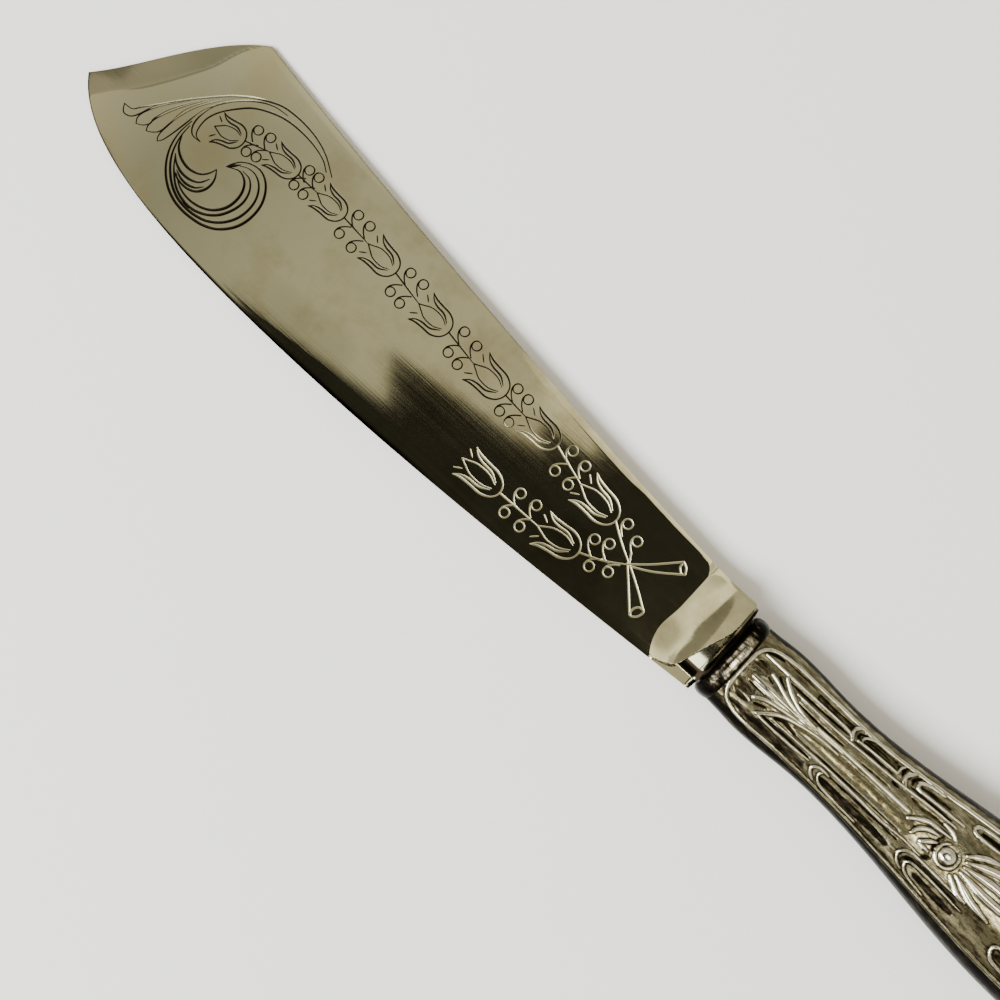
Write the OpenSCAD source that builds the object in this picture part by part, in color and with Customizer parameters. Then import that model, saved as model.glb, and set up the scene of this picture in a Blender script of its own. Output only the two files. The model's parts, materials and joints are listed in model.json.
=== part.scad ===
// Hollow-handled cake knife, lying on its back face with the engraved face up.
// The sub-parts are drawn in the knife's own frame: X runs from the shoulder to the tip, Y points to
// the cutting edge, Z is normal to the blade, and the origin is the middle of the blade's rear end.
// at_rest() then tilts the knife onto its tip end and its handle and centres it over the floor.

/* [Blade] */
// Length of the blade from its rear end to the tip corner
blade_len = 184.6; // [150:0.1:220]
// Thickness of the blade plate
blade_t = 1.6; // [1:0.1:2.4]
// Width of the blade at its rear end
heel_w = 22; // [18:0.1:26]
// Distance from the rear end to the widest point of the cutting edge
belly_x = 108; // [80:0.5:130]
// Distance of the cutting edge from the centre line at that point
belly_h = 17; // [14:0.1:22]
// Distance of the tip corner from the centre line, towards the cutting edge
tip_h = 1.4; // [0:0.1:6]
// Distance by which the blade's slanted end runs back from the tip corner
end_slant = 25.1; // [15:0.1:40]
// Distance of the spine corner from the centre line
spine_drop = 30.1; // [22:0.1:36]
// Width of the thinned band along the slanted end
tip_band_w = 8.5; // [4:0.1:14]
// Thickness of the blade at the slanted end
tip_t = 1; // [0.6:0.1:1.6]

/* [Bolster and tang] */
// Width of the bolster's drum
drum_w = 17.6; // [14:0.1:18]
// Thickness of the bolster's drum
drum_t = 10; // [6:0.1:11]
// Length of the drum before the swell begins
drum_len = 2.4; // [1:0.1:4]
// Length of the hollow swell between drum and plate
swell_len = 9.8; // [6:0.1:14]
// Gap between the blade's rear end and the collar
shoulder_gap = 0.6; // [0.2:0.1:1]
// Length of the tang behind its root
tang_len = 62; // [40:1:80]
// Width of the tang at its root
tang_w = 9; // [6:0.1:12]
// Width of the tang at its end
tang_end_w = 5; // [3:0.1:6]
// Thickness of the tang
tang_t = 4; // [3:0.1:5]

/* [Handle] */
// Length of the handle shells
handle_len = 111.6; // [95:0.1:130]
// Width of the handle at its mouth
mouth_w = 19.8; // [18:0.1:24]
// Thickness of the handle at its mouth
mouth_t = 10.6; // [9:0.1:12]
// Distance from the mouth to the bulge behind the collar
bulge_u = 9; // [6:0.1:14]
// Width of the handle at the bulge
bulge_w = 20.9; // [18:0.1:26]
// Thickness of the handle at the bulge
bulge_t = 11.2; // [9:0.1:13]
// Distance from the mouth to the waist
waist_u = 25.6; // [20:0.1:34]
// Width of the handle at the waist
waist_w = 19.2; // [16:0.1:22]
// Thickness of the handle at the waist
waist_t = 11; // [9:0.1:13]
// Distance from the mouth to the widest point of the handle
widest_u = 84; // [70:0.1:92]
// Width of the handle at its widest point
handle_w = 29.6; // [24:0.1:34]
// Thickness of the handle at its widest point
handle_t = 16.4; // [14:0.1:20]
// Wall of the stamped shells
wall = 0.6; // [0.4:0.05:1]
// Thickness of the solder line between the shells
seam_t = 0.3; // [0.2:0.05:0.5]

/* [Collar] */
// Length of the collar's bead
bead_len = 3.8; // [2.5:0.1:5]
// Height of the bead's crest over the handle's mouth
bead_crest = 0.3; // [0.1:0.05:0.6]
// Fall of the bead from its crest to its front face
bead_fall = 1.2; // [0.6:0.1:1.6]
// Length of the lip that sits inside the shells
lip_len = 2.5; // [1.5:0.1:4]
// Thickness of the lip
lip_t = 1.2; // [0.8:0.1:1.6]
// Clearance of each cemented or soldered joint
joint_gap = 0.05; // [0.03:0.01:0.1]

/* [Hidden] */

// Fineness of the drawn curves: steps in one blade curve, round half a handle section, along the
// handle's body, round its end and round the collar's bead. The odd count puts a flat facet under
// the handle.
curve_steps = 16;
half_steps = 15;
body_steps = 18;
end_steps = 7;
bead_steps = 8;
// Exponent of the handle's squarish oval section, where 2 would be an ellipse
oval_power = 2.5;
// Slope of the cutting edge where it leaves the shoulder, and share of the way to the tip over
// which it stays flat
heel_flare = 0.083;
belly_flat = 0.52;
// Reach of the curves into each corner of the blade's end
edge_reach = [9.6, 12.6];
tip_reach = [8.2, 8.8];
corner_reach = [11, 7.7];
spine_reach = [41.5, 7.1];
heel_reach = [45, 3];
// Depth by which the swell runs out under the plate's face, and slack for clean cuts
swell_sink = 0.15;
slack = 1;

tip = [blade_len, tip_h];
spine_corner = [blade_len - end_slant, -spine_drop];
bead_front = -shoulder_gap;
mouth_x = bead_front - bead_len;
lip_end = mouth_x - lip_len;
lip_inset = wall + joint_gap;
hole_inset = lip_inset + lip_t;
stub_inset = hole_inset + joint_gap;
neck_len = drum_len + swell_len;
swell_drop = (drum_t - blade_t) / 2 + swell_sink;
swell_r = (pow(swell_len, 2) + pow(swell_drop, 2)) / (2 * swell_drop);

// Points of a cubic curve from a to d, without d itself
function curve(a, b, c, d) = [for (i = [0 : curve_steps - 1]) let (t = i / curve_steps, s = 1 - t)
    s * s * s * a + 3 * s * s * t * b + 3 * s * t * t * c + t * t * t * d];

// Outline of the blade: cutting edge in two stretches, slanted end, spine
heel = [0, heel_w / 2];
belly = [belly_x, belly_h];
blade_outline = concat(
    curve(heel, heel + belly_x / 3 * [1, heel_flare], belly - [belly_x / 3, 0], belly),
    curve(belly, belly + [belly_flat * (blade_len - belly_x), 0], tip + [-edge_reach.x, edge_reach.y],
        tip),
    curve(tip, tip - tip_reach, spine_corner + corner_reach, spine_corner),
    curve(spine_corner, spine_corner + [-spine_reach.x, spine_reach.y],
        [heel_reach.x, -heel.y - heel_reach.y], [0, -heel.y]),
    [[0, -heel.y]]);

// Handle sizes along its length u, measured back from the mouth
function ease(a, b, s) = a + (b - a) * (1 - cos(180 * s)) / 2;
function along(u, mouth, bulge, waist, widest) =
    u < bulge_u ? ease(mouth, bulge, u / bulge_u)
    : u < waist_u ? ease(bulge, waist, (u - bulge_u) / (waist_u - bulge_u))
    : ease(waist, widest, (u - waist_u) / (widest_u - waist_u));
function half_w(u) = along(u, mouth_w, bulge_w, waist_w, handle_w) / 2;
function half_t(u) = along(u, mouth_t, bulge_t, waist_t, handle_t) / 2;

// Stations [x, half width, half thickness] of the handle's form, set in by a distance: even steps
// along the body from u0, then steps round the arched end
function stations(inset, u0 = 0) = concat(
    [for (i = [0 : body_steps]) let (u = u0 + (widest_u - u0) * i / body_steps)
        [mouth_x - u, half_w(u) - inset, half_t(u) - inset]],
    [for (i = [1 : end_steps - 1]) let (a = 90 * i / end_steps)
        [mouth_x - widest_u - (handle_len - inset - widest_u) * sin(a),
            (handle_w / 2 - inset) * cos(a), (handle_t / 2 - inset) * cos(a)]]);
function butt(inset) = [mouth_x - handle_len + inset, 0, 0];

// Squarish oval arc in the YZ plane, from the first to the last half step
function squared(v) = sign(v) * pow(abs(v), 2 / oval_power);
function oval(w, t, first, last) = [for (j = [first : last]) let (a = 180 * j / half_steps)
    [w * squared(cos(a)), t * squared(sin(a))]];
function full_oval(w, t) = oval(w, t, 0, 2 * half_steps - 1);
// Oval of the handle's mouth grown by a distance, at a place along X
function mouth_ring(x, grow) = [for (p = full_oval(mouth_w / 2 + grow, mouth_t / 2 + grow)) [x, p.x, p.y]];

// Triangles of a closed strip between ring i and ring k, of n points each
function strip(i, k, n) = [for (j = [0 : n - 1]) let (m = (j + 1) % n)
    each [[i * n + j, i * n + m, k * n + m], [i * n + j, k * n + m, k * n + j]]];
function flat(lists) = [for (l = lists) each l];

// Rest pose: the knife turns about the line of its slanted end until the handle meets the floor
end_dir = (tip - spine_corner) / norm(tip - spine_corner);
function reach(p) = end_dir.x * p.y - end_dir.y * p.x;
handle_points = [for (s = stations(0)) each [for (p = full_oval(s[1], s[2])) [s.x, p.x, p.y]]];
bead_points = mouth_ring(bead_front - bead_len / 2, bead_crest);
rest_tilt = max([for (p = concat(handle_points, bead_points))
    atan2(-p.z - blade_t / 2, reach(p) - reach(tip))]);
function tilted(p) = let (c = cos(rest_tilt), s = sin(rest_tilt),
    along_end = (end_dir.x * p.x + end_dir.y * p.y) * (1 - c))
    [p.x * c + end_dir.y * p.z * s + end_dir.x * along_end,
        p.y * c - end_dir.x * p.z * s + end_dir.y * along_end, p.z * c + reach(p) * s];
under_points = [for (p = blade_outline) [p.x, p.y, -blade_t / 2]];
box_points = [for (p = concat(handle_points, [butt(0)], under_points)) tilted(p)];
low = [for (k = [0 : 2]) min([for (p = box_points) p[k]])];
high = [for (k = [0 : 2]) max([for (p = box_points) p[k]])];

module at_rest() {
    translate([-(low.x + high.x) / 2, -(low.y + high.y) / 2, -low.z])
        rotate(a = rest_tilt, v = [end_dir.x, end_dir.y, 0])
            children();
}

// Extrudes an outline of the YZ plane forward along X
module along_x(length) {
    rotate([90, 0, 90]) linear_extrude(height = length) children();
}

// Flat bar of the tang, grown by a clearance
module tang(grow) {
    linear_extrude(height = tang_t + 2 * grow, center = true)
        polygon([[lip_end + slack, tang_w / 2 + grow], [lip_end, tang_w / 2 + grow],
            [lip_end - tang_len - grow, tang_end_w / 2 + grow],
            [lip_end - tang_len - grow, -tang_end_w / 2 - grow],
            [lip_end, -tang_w / 2 - grow], [lip_end + slack, -tang_w / 2 - grow]]);
}

// Drum and swell of the bolster: an oval bar with a round hollow above and below
module bolster() {
    difference() {
        along_x(neck_len) polygon(full_oval(drum_w / 2, drum_t / 2));
        for (side = [-1, 1])
            translate([neck_len, 0, side * (drum_t / 2 - swell_drop + swell_r)])
                rotate([90, 0, 0])
                    cylinder(r = swell_r, h = drum_w + 2 * slack, center = true, $fn = 96);
    }
}

// Plate of the blade, thinned towards its slanted end from the engraved side
module plate() {
    fall = atan2(blade_t - tip_t, tip_band_w);
    end_len = norm(tip - spine_corner);
    difference() {
        linear_extrude(height = blade_t, center = true) polygon(blade_outline);
        translate([spine_corner.x, spine_corner.y, blade_t / 2])
            rotate([0, 0, atan2(end_dir.y, end_dir.x)])
                translate([-end_len / 2, tip_band_w, 0])
                    rotate([fall, 0, 0])
                        translate([0, -3 * tip_band_w, 0])
                            cube([2 * end_len, 3 * tip_band_w, blade_t + slack]);
    }
}

module blade() {
    color("#c9c3ab") at_rest() {
        union() {
            plate();
            bolster();
            translate([lip_end, 0, 0])
                along_x(-lip_end)
                    polygon(full_oval(mouth_w / 2 - stub_inset, mouth_t / 2 - stub_inset));
            tang(0);
        }
    }
}

// Bead, end face and lip of the collar, as rings of the mouth's oval round a closed profile
module handle_collar() {
    bead = [for (i = [0 : bead_steps]) let (a = 180 * i / bead_steps,
        drop = a < 90 ? bead_fall : bead_crest + wall / 2)
        [(bead_front + mouth_x) / 2 + bead_len / 2 * cos(a), bead_crest - drop * (1 - sin(a))]];
    profile = concat([[bead_front, -hole_inset]], bead, [[mouth_x, -lip_inset], [lip_end, -lip_inset],
        [lip_end, -hole_inset]]);
    rings = len(profile);
    color("#2a2620") at_rest()
        polyhedron(points = flat([for (p = profile) mouth_ring(p.x, p.y)]),
            faces = flat([for (i = [0 : rings - 1]) strip((i + 1) % rings, i, 2 * half_steps)]),
            convexity = 6);
}

// Stamped half of the handle: rings of an outer and an inner arc, closed by fans at the butt
module half_shell() {
    outer = stations(0);
    inner = stations(wall);
    n = 2 * half_steps + 2;
    last = len(outer) - 1;
    rise = seam_t / 2;
    function arc(s) = [for (p = oval(s[1], s[2] - rise, 0, half_steps))
        [s.x, p.x, p.y + rise]];
    function backwards(list) = [for (i = [len(list) - 1 : -1 : 0]) list[i]];
    ring_points = flat([for (i = [0 : last]) concat(arc(outer[i]), backwards(arc(inner[i])))]);
    butt_out = len(ring_points);
    butt_in = butt_out + 1;
    end = last * n;
    mouth_face = [for (j = [0 : half_steps - 1])
        each [[j, n - 1 - j, j + 1], [j + 1, n - 1 - j, n - 2 - j]]];
    fans = [for (j = [0 : half_steps - 1])
        each [[end + j, end + j + 1, butt_out],
            [end + half_steps + 1 + j, end + half_steps + 2 + j, butt_in]]];
    seam_ends = [[end + half_steps, end + half_steps + 1, butt_in], [end + half_steps, butt_in, butt_out],
        [end + n - 1, end, butt_out], [end + n - 1, butt_out, butt_in]];
    polyhedron(points = concat(ring_points, [butt(0) + [0, 0, rise], butt(wall) + [0, 0, rise]]),
        faces = concat(flat([for (i = [0 : last - 1]) strip(i, i + 1, n)]), mouth_face, fans, seam_ends),
        convexity = 6);
}

module handle_front_shell() {
    color("#a39a7c") at_rest() half_shell();
}

module handle_back_shell() {
    color("#a39a7c") at_rest() mirror([0, 0, 1]) half_shell();
}

// Solder line: the handle's plan outline less the same outline set in by the wall
module seam_solder() {
    function side(inset, way) = [for (s = stations(inset)) [s.x, way * s[1]]];
    function plan(inset) = concat(side(inset, 1), [[butt(inset).x, 0]],
        [for (i = [len(stations(inset)) - 1 : -1 : 0]) side(inset, -1)[i]]);
    mouth_in = half_w(0) - wall;
    color("#8d8a80") at_rest()
        linear_extrude(height = seam_t, center = true)
            difference() {
                polygon(plan(0));
                union() {
                    polygon(plan(wall));
                    translate([mouth_x - slack, -mouth_in]) square([2 * slack, 2 * mouth_in]);
                }
            }
}

// Cement: the inside of the shells behind the collar's lip, less the tang
module cement_filling() {
    form = stations(lip_inset, lip_len + joint_gap);
    n = 2 * half_steps;
    last = len(form) - 1;
    butt_point = n * len(form);
    points = concat([for (s = form) each [for (p = full_oval(s[1], s[2])) [s.x, p.x, p.y]]],
        [butt(lip_inset)]);
    front = [[for (j = [n - 1 : -1 : 0]) j]];
    fan = [for (j = [0 : n - 1]) [last * n + j, last * n + (j + 1) % n, butt_point]];
    color("#6b5636") at_rest()
        difference() {
            polyhedron(points = points,
                faces = concat(front, flat([for (i = [0 : last - 1]) strip(i, i + 1, n)]), fan),
                convexity = 4);
            tang(joint_gap);
        }
}

blade();
handle_collar();
handle_front_shell();
handle_back_shell();
seam_solder();
cement_filling();
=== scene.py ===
# %% [markdown]
# # A cake knife with an engraved blade and a stamped handle
# The packed model gives every piece its size and place. This lesson dresses it: the blade gets its
# ground edges and engraved drawing, the handle its stamped relief, and each metal its own finish.
# Everything is worked out in the knife's own frame, in millimetres, and moved to the model's frame in
# metres at the very end, because a knife is easier to draw flat than leaning as it lies.

# %% The packed model
import json
import math
import bmesh
import bpy
import numpy as np
from mathutils import Matrix, Vector
from mathutils.geometry import delaunay_2d_cdt


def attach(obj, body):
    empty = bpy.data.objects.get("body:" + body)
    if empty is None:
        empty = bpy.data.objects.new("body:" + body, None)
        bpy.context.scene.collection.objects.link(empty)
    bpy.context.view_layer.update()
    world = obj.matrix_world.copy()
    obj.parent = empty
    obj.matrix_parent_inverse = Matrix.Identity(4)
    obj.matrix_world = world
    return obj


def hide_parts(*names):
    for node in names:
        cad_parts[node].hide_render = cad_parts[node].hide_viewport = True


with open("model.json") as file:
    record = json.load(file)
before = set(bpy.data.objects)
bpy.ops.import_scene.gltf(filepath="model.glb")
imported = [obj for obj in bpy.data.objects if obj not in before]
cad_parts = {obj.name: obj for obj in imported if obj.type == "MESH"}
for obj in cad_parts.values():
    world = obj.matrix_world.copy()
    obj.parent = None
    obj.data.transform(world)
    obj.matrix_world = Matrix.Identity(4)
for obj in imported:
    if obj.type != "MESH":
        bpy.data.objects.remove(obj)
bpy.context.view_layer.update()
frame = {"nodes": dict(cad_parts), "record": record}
print("nodes:", sorted(frame["nodes"]))

# %% [markdown]
# ## The knife's own frame
# X runs from the blade's rear end to the tip, Y towards the cutting edge, Z out of the engraved face.
# The record's mount on the blade's underside gives the way that the knife leans as it lies, so the
# script reads it there instead of repeating the tilt.

# %% From the knife's frame to the model's
MM = 0.001
BLADE_T = 1.6
UNDERSIDE_AT = Vector((100, -3, -BLADE_T / 2))
underside = next(m for m in frame["record"]["mounts"] if m["name"] == "blade_underside")
lean = Vector((0, 0, 1)).rotation_difference(-Vector(underside["axis"])).to_matrix()
knife_origin = Vector(underside["pos_m"]) - lean @ (UNDERSIDE_AT * MM)


def to_model(points):
    return np.asarray(points, float) * MM @ np.array(lean).T + np.array(knife_origin)


print("the knife leans by", round(math.degrees(lean.to_quaternion().angle), 2), "degrees")

# %% [markdown]
# ## Camera
# The photograph looks almost straight down. The picture's centre, the distance and the lens were found
# by laying the blade's outline over the picture, and the knife is turned by 43 degrees in it.

# %% Camera at the photograph's place
CAMERA_AIM = Vector((55.1, 8.8, 0))
CAMERA_DISTANCE = 263.06
CAMERA_ELEVATION = math.radians(84)
KNIFE_TURN = math.radians(43)
LENS = 45
NEAREST_SEEN = 0.01

picture_right = Vector((-math.cos(KNIFE_TURN), -math.sin(KNIFE_TURN), 0))
picture_north = Vector((math.sin(KNIFE_TURN), -math.cos(KNIFE_TURN), 0))
straight_up = Vector((0, 0, 1))
view_back = straight_up * math.sin(CAMERA_ELEVATION) - picture_north * math.cos(CAMERA_ELEVATION)
view_up = view_back.cross(picture_right)
camera_axes = lean @ Matrix((picture_right, view_up, view_back)).transposed()
camera_data = bpy.data.cameras.new("photo_camera")
camera_data.lens = LENS
camera_data.clip_start = NEAREST_SEEN
camera = bpy.data.objects.new("photo_camera", camera_data)
camera_place = Vector(to_model(CAMERA_AIM + view_back * CAMERA_DISTANCE))
camera.matrix_world = Matrix.Translation(camera_place) @ camera_axes.to_4x4()
bpy.context.scene.collection.objects.link(camera)
bpy.context.scene.camera = camera
print("camera at", [round(v, 3) for v in camera_place])

# %% [markdown]
# ## Lines
# The outline, the engraving and the relief are all drawn as a few points joined by a smooth line, as a
# draughtsman sets a spline through pins. One function makes the smooth line, another measures how far
# points lie from it and how wide the line is there. Blender's own curves could draw the lines too, but
# the heights further on need the distances as plain numbers.

# %% Smooth lines


def smooth_line(pins, step, closed=False, samples=24):
    """Even points along a smooth line through the pins, which may carry more numbers, such as a width."""
    pins = np.asarray(pins, float)
    ends = (pins[-1], pins[0], pins[1]) if closed else (2 * pins[0] - pins[1], 2 * pins[-1] - pins[-2])
    knots = np.vstack([ends[0], pins, *ends[1:]])
    t = np.linspace(0, 1, samples, endpoint=False)[:, None]
    spans = []
    for a, b, c, d in zip(knots, knots[1:], knots[2:], knots[3:]):
        spans.append(0.5 * (2 * b + (c - a) * t + (2 * a - 5 * b + 4 * c - d) * t**2
                            + (3 * b - a - 3 * c + d) * t**3))
    dense = np.vstack(spans + [knots[-2][None]])
    length = np.r_[0, np.cumsum(np.linalg.norm(np.diff(dense[:, :2], axis=0), axis=1))]
    count = max(2, int(round(length[-1] / step)) + 1)
    at = np.linspace(0, length[-1], count)
    return np.column_stack([np.interp(at, length, column) for column in dense.T])


def bezier(a, b, c, d, count):
    t = np.linspace(0, 1, count)[:, None]
    a, b, c, d = (np.array(p, float) for p in (a, b, c, d))
    return (1 - t)**3 * a + 3 * (1 - t)**2 * t * b + 3 * (1 - t) * t**2 * c + t**3 * d


print("a quarter bend of 10 mm has", len(smooth_line([(0, 0), (7, 3), (10, 10)], 0.4)), "points")

# %% Distances and soft steps


def line_distance(points, line):
    """Distance of each point from a line, and the line's further numbers at the nearest place."""
    best = np.full(len(points), 1e9)
    extra = np.zeros((len(points), line.shape[1] - 2))
    for p, q in zip(line[:-1], line[1:]):
        run = q[:2] - p[:2]
        t = np.clip((points - p[:2]) @ run / max(run @ run, 1e-12), 0, 1)
        far = np.hypot(*(points - p[:2] - t[:, None] * run).T)
        near = far < best
        best[near] = far[near]
        extra[near] = p[2:] + t[near, None] * (q[2:] - p[2:])
    return best, extra


def rise(value, low, high):
    """Smooth step from 0 below low to 1 above high."""
    t = np.clip((value - low) / (high - low), 0, 1)
    return t * t * (3 - 2 * t)


print("a soft step is at", rise(0.25, 0, 1), "a quarter of the way up")

# %% [markdown]
# ## Engraved flowers
# The engraver cut the same tulip again and again along one stem, a little smaller towards the tip, with
# two pairs of berries between each two flowers. Such a repeat is a job for Geometry Nodes: one flower and
# one berry are drawn as bare lines, and a tree sets them on points that carry each one's turn and size.

# %% One flower and one berry as lines
# Points are shares of the flower's length and half width, or of the berry's radius; the third number is
# the line's half width in mm.
FLOWER_STEP, BERRY_STEP = 0.05, 0.4
HAIR, THIN, FINE, BOLD = 0.1, 0.12, 0.17, 0.25
FLOWER_BELL = [(1.0, -1.0, HAIR), (0.83, -0.87, BOLD), (0.6, -0.82, BOLD), (0.3, -0.77, BOLD),
               (0.08, -0.48, FINE), (0.0, 0.0, FINE), (0.08, 0.48, FINE), (0.3, 0.77, BOLD),
               (0.6, 0.8, BOLD), (0.83, 0.85, BOLD), (1.0, 1.0, HAIR)]
FLOWER_PETAL = [(0.2, 0.25, HAIR), (0.42, 0.54, BOLD), (0.68, 0.59, BOLD), (0.86, 0.72, FINE),
                (1.0, 1.0, HAIR)]
FLOWER_HEART = [(0.19, 0.14, HAIR), (0.42, 0.36, FINE), (0.72, 0.36, FINE), (0.93, 0.16, FINE),
                (1.07, 0.0, FINE)]
FLOWER_SEPAL = [(0.93, 0.42, THIN), (1.0, 0.54, FINE), (1.08, 0.68, THIN)]
BERRY_RING = [(math.cos(a), math.sin(a), FINE) for a in np.linspace(0, 2 * math.pi, 9)[:-1]]
BERRY_STALK = [(0.98, -0.2, FINE), (0.92, 0.75, FINE), (0.2, 1.75, FINE), (-0.8, 2.55, FINE)]


def mirrored(line):
    return [(x, -y, w) for x, y, w in line]


def lines_object(name, lines):
    """A mesh of bare edges, with each point's half width as an attribute."""
    points, edges, widths = [], [], []
    for line in lines:
        first = len(points)
        points += [(x, y, 0) for x, y, _ in line]
        widths += [w for _, _, w in line]
        edges += [(i, i + 1) for i in range(first, len(points) - 1)]
    mesh = bpy.data.meshes.new(name)
    mesh.from_pydata(points, edges, [])
    mesh.attributes.new("half_width", "FLOAT", "POINT").data.foreach_set("value", widths)
    return bpy.data.objects.new(name, mesh)


flower_lines = [smooth_line(FLOWER_BELL, FLOWER_STEP)]
for one_side in (FLOWER_PETAL, FLOWER_HEART, FLOWER_SEPAL):
    flower_lines += [smooth_line(line, FLOWER_STEP) for line in (one_side, mirrored(one_side))]
flower = lines_object("flower_drawing", flower_lines)
berry_lines = [smooth_line(BERRY_RING, BERRY_STEP, closed=True), smooth_line(BERRY_STALK, BERRY_STEP)]
berry = lines_object("berry_drawing", berry_lines)
print("one flower has", len(flower.data.vertices), "points, one berry", len(berry.data.vertices))

# %% [markdown]
# ## Where the flowers and berries stand
# The engraver set them by eye, so no two gaps are alike. A rule for even spacing would look printed, so
# each flower keeps its own place, turn and size, and each berry its own place, as points with attributes.

# %% Places of the flowers and berries
# Base on the blade in mm, turn in degrees, length and half width in mm, from the shoulder to the tip.
MAIN_SPRAY = [((34.3, -4.4), -4, 10.0, 4.15),
              ((54.0, -7.8), 0, 8.5, 3.7),
              ((69.4, -8.3), -2, 8.9, 4.15),
              ((87.5, -10.0), -1, 8.3, 4.0),
              ((104.7, -11.7), -4, 8.1, 3.85),
              ((121.2, -13.0), 0, 7.5, 3.5),
              ((135.0, -13.1), 4, 7.6, 3.4),
              ((148.7, -10.7), 17, 6.9, 3.7)]
SIDE_SPRAY = [((35.5, 5.7), 10, 9.6, 4.05),
              ((56.1, 7.8), 0, 10.1, 3.8)]
# Ring centres of the berries, first those on the spine's side of a stem, then those on the edge's side.
SPINE_BERRIES = [(28.1, -4.3), (32.0, -5.7), (32.0, 0.0), (34.9, 1.4), (46.8, -8.6), (50.9, -9.2),
                 (65.2, -10.9), (68.4, -11.1), (81.1, -11.9), (85.1, -12.4), (98.6, -13.9), (102.3, -13.9),
                 (115.8, -15.4), (119.3, -15.5), (131.3, -15.7), (133.9, -15.5), (145.1, -15.0),
                 (148.2, -14.4), (48.7, 4.5), (52.8, 4.9)]
EDGE_BERRIES = [(28.3, 4.6), (32.0, 6.4), (46.8, -3.2), (50.8, -3.5), (64.9, -4.5), (68.0, -4.9),
                (81.4, -6.1), (84.6, -6.7), (99.5, -7.4), (102.7, -7.9), (115.5, -9.2), (119.5, -9.7),
                (131.2, -10.6), (134.1, -10.8), (144.4, -9.7), (146.8, -9.1), (48.3, 10.2), (52.6, 10.2)]
BERRY_R = 1.08


def points_object(name, places, turns, sizes):
    """A cloud of points that carry each copy's turn and size."""
    mesh = bpy.data.meshes.new(name)
    mesh.from_pydata([(x, y, 0) for x, y in places], [], [])
    mesh.attributes.new("turn", "FLOAT", "POINT").data.foreach_set("value", turns)
    mesh.attributes.new("size", "FLOAT_VECTOR", "POINT").data.foreach_set("vector", np.ravel(sizes))
    cloud = bpy.data.objects.new(name, mesh)
    bpy.context.scene.collection.objects.link(cloud)
    return cloud


all_flowers = MAIN_SPRAY + SIDE_SPRAY
flower_points = points_object("flower_points", [base for base, _, _, _ in all_flowers],
                              [math.radians(turn) for _, turn, _, _ in all_flowers],
                              [(length, half, 1) for _, _, length, half in all_flowers])
all_berries = SPINE_BERRIES + EDGE_BERRIES
berry_sizes = [(BERRY_R, BERRY_R, 1)] * len(SPINE_BERRIES) + [(BERRY_R, -BERRY_R, 1)] * len(EDGE_BERRIES)
berry_points = points_object("berry_points", all_berries, [0] * len(all_berries), berry_sizes)
print(len(all_flowers), "flowers and", len(all_berries), "berries")

# %% [markdown]
# ## Repeating a drawing
# The tree takes a cloud of points and a drawing, puts a copy on every point with that point's own turn and
# size, and makes the copies real. A loop in Python could do the same, but the tree shows how Blender
# repeats a thing without copying it by hand, and it can be opened and changed in the editor.

# %% A helper for nodes


def add_node(tree, kind, inputs=(), **settings):
    """A new node with its settings. Inputs are (socket, value) pairs; a value that is a socket is linked."""
    node = tree.nodes.new(kind)
    for name, value in settings.items():
        setattr(node, name, value)
    for socket, value in inputs:
        if isinstance(value, bpy.types.NodeSocket):
            tree.links.new(value, node.inputs[socket])
        else:
            node.inputs[socket].default_value = value
    return node


print("helper:", add_node.__doc__)

# %% The tree that repeats a drawing


def repeat_tree():
    tree = bpy.data.node_groups.new("repeat_drawing", "GeometryNodeTree")
    tree.interface.new_socket("Places", in_out="INPUT", socket_type="NodeSocketGeometry")
    tree.interface.new_socket("Drawing", in_out="INPUT", socket_type="NodeSocketObject")
    tree.interface.new_socket("Finish", in_out="INPUT", socket_type="NodeSocketMaterial")
    tree.interface.new_socket("Geometry", in_out="OUTPUT", socket_type="NodeSocketGeometry")
    group_in = add_node(tree, "NodeGroupInput")
    drawing = add_node(tree, "GeometryNodeObjectInfo", [("Object", group_in.outputs["Drawing"])])
    turn = add_node(tree, "GeometryNodeInputNamedAttribute", [("Name", "turn")], data_type="FLOAT")
    size = add_node(tree, "GeometryNodeInputNamedAttribute", [("Name", "size")], data_type="FLOAT_VECTOR")
    angles = add_node(tree, "ShaderNodeCombineXYZ", [("Z", turn.outputs["Attribute"])])
    rotation = add_node(tree, "FunctionNodeEulerToRotation", [("Euler", angles.outputs["Vector"])])
    copies = add_node(tree, "GeometryNodeInstanceOnPoints",
                      [("Points", group_in.outputs["Places"]), ("Instance", drawing.outputs["Geometry"]),
                       ("Rotation", rotation.outputs["Rotation"]), ("Scale", size.outputs["Attribute"])])
    real = add_node(tree, "GeometryNodeRealizeInstances", [("Geometry", copies.outputs["Instances"])])
    finished = add_node(tree, "GeometryNodeSetMaterial",
                        [("Geometry", real.outputs["Geometry"]), ("Material", group_in.outputs["Finish"])])
    add_node(tree, "NodeGroupOutput", [("Geometry", finished.outputs["Geometry"])])
    return tree


repeat_drawing = repeat_tree()
sockets = {item.name: item.identifier for item in repeat_drawing.interface.items_tree}
print("the tree's sockets:", sockets)

# %% Grooves from the tree


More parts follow.
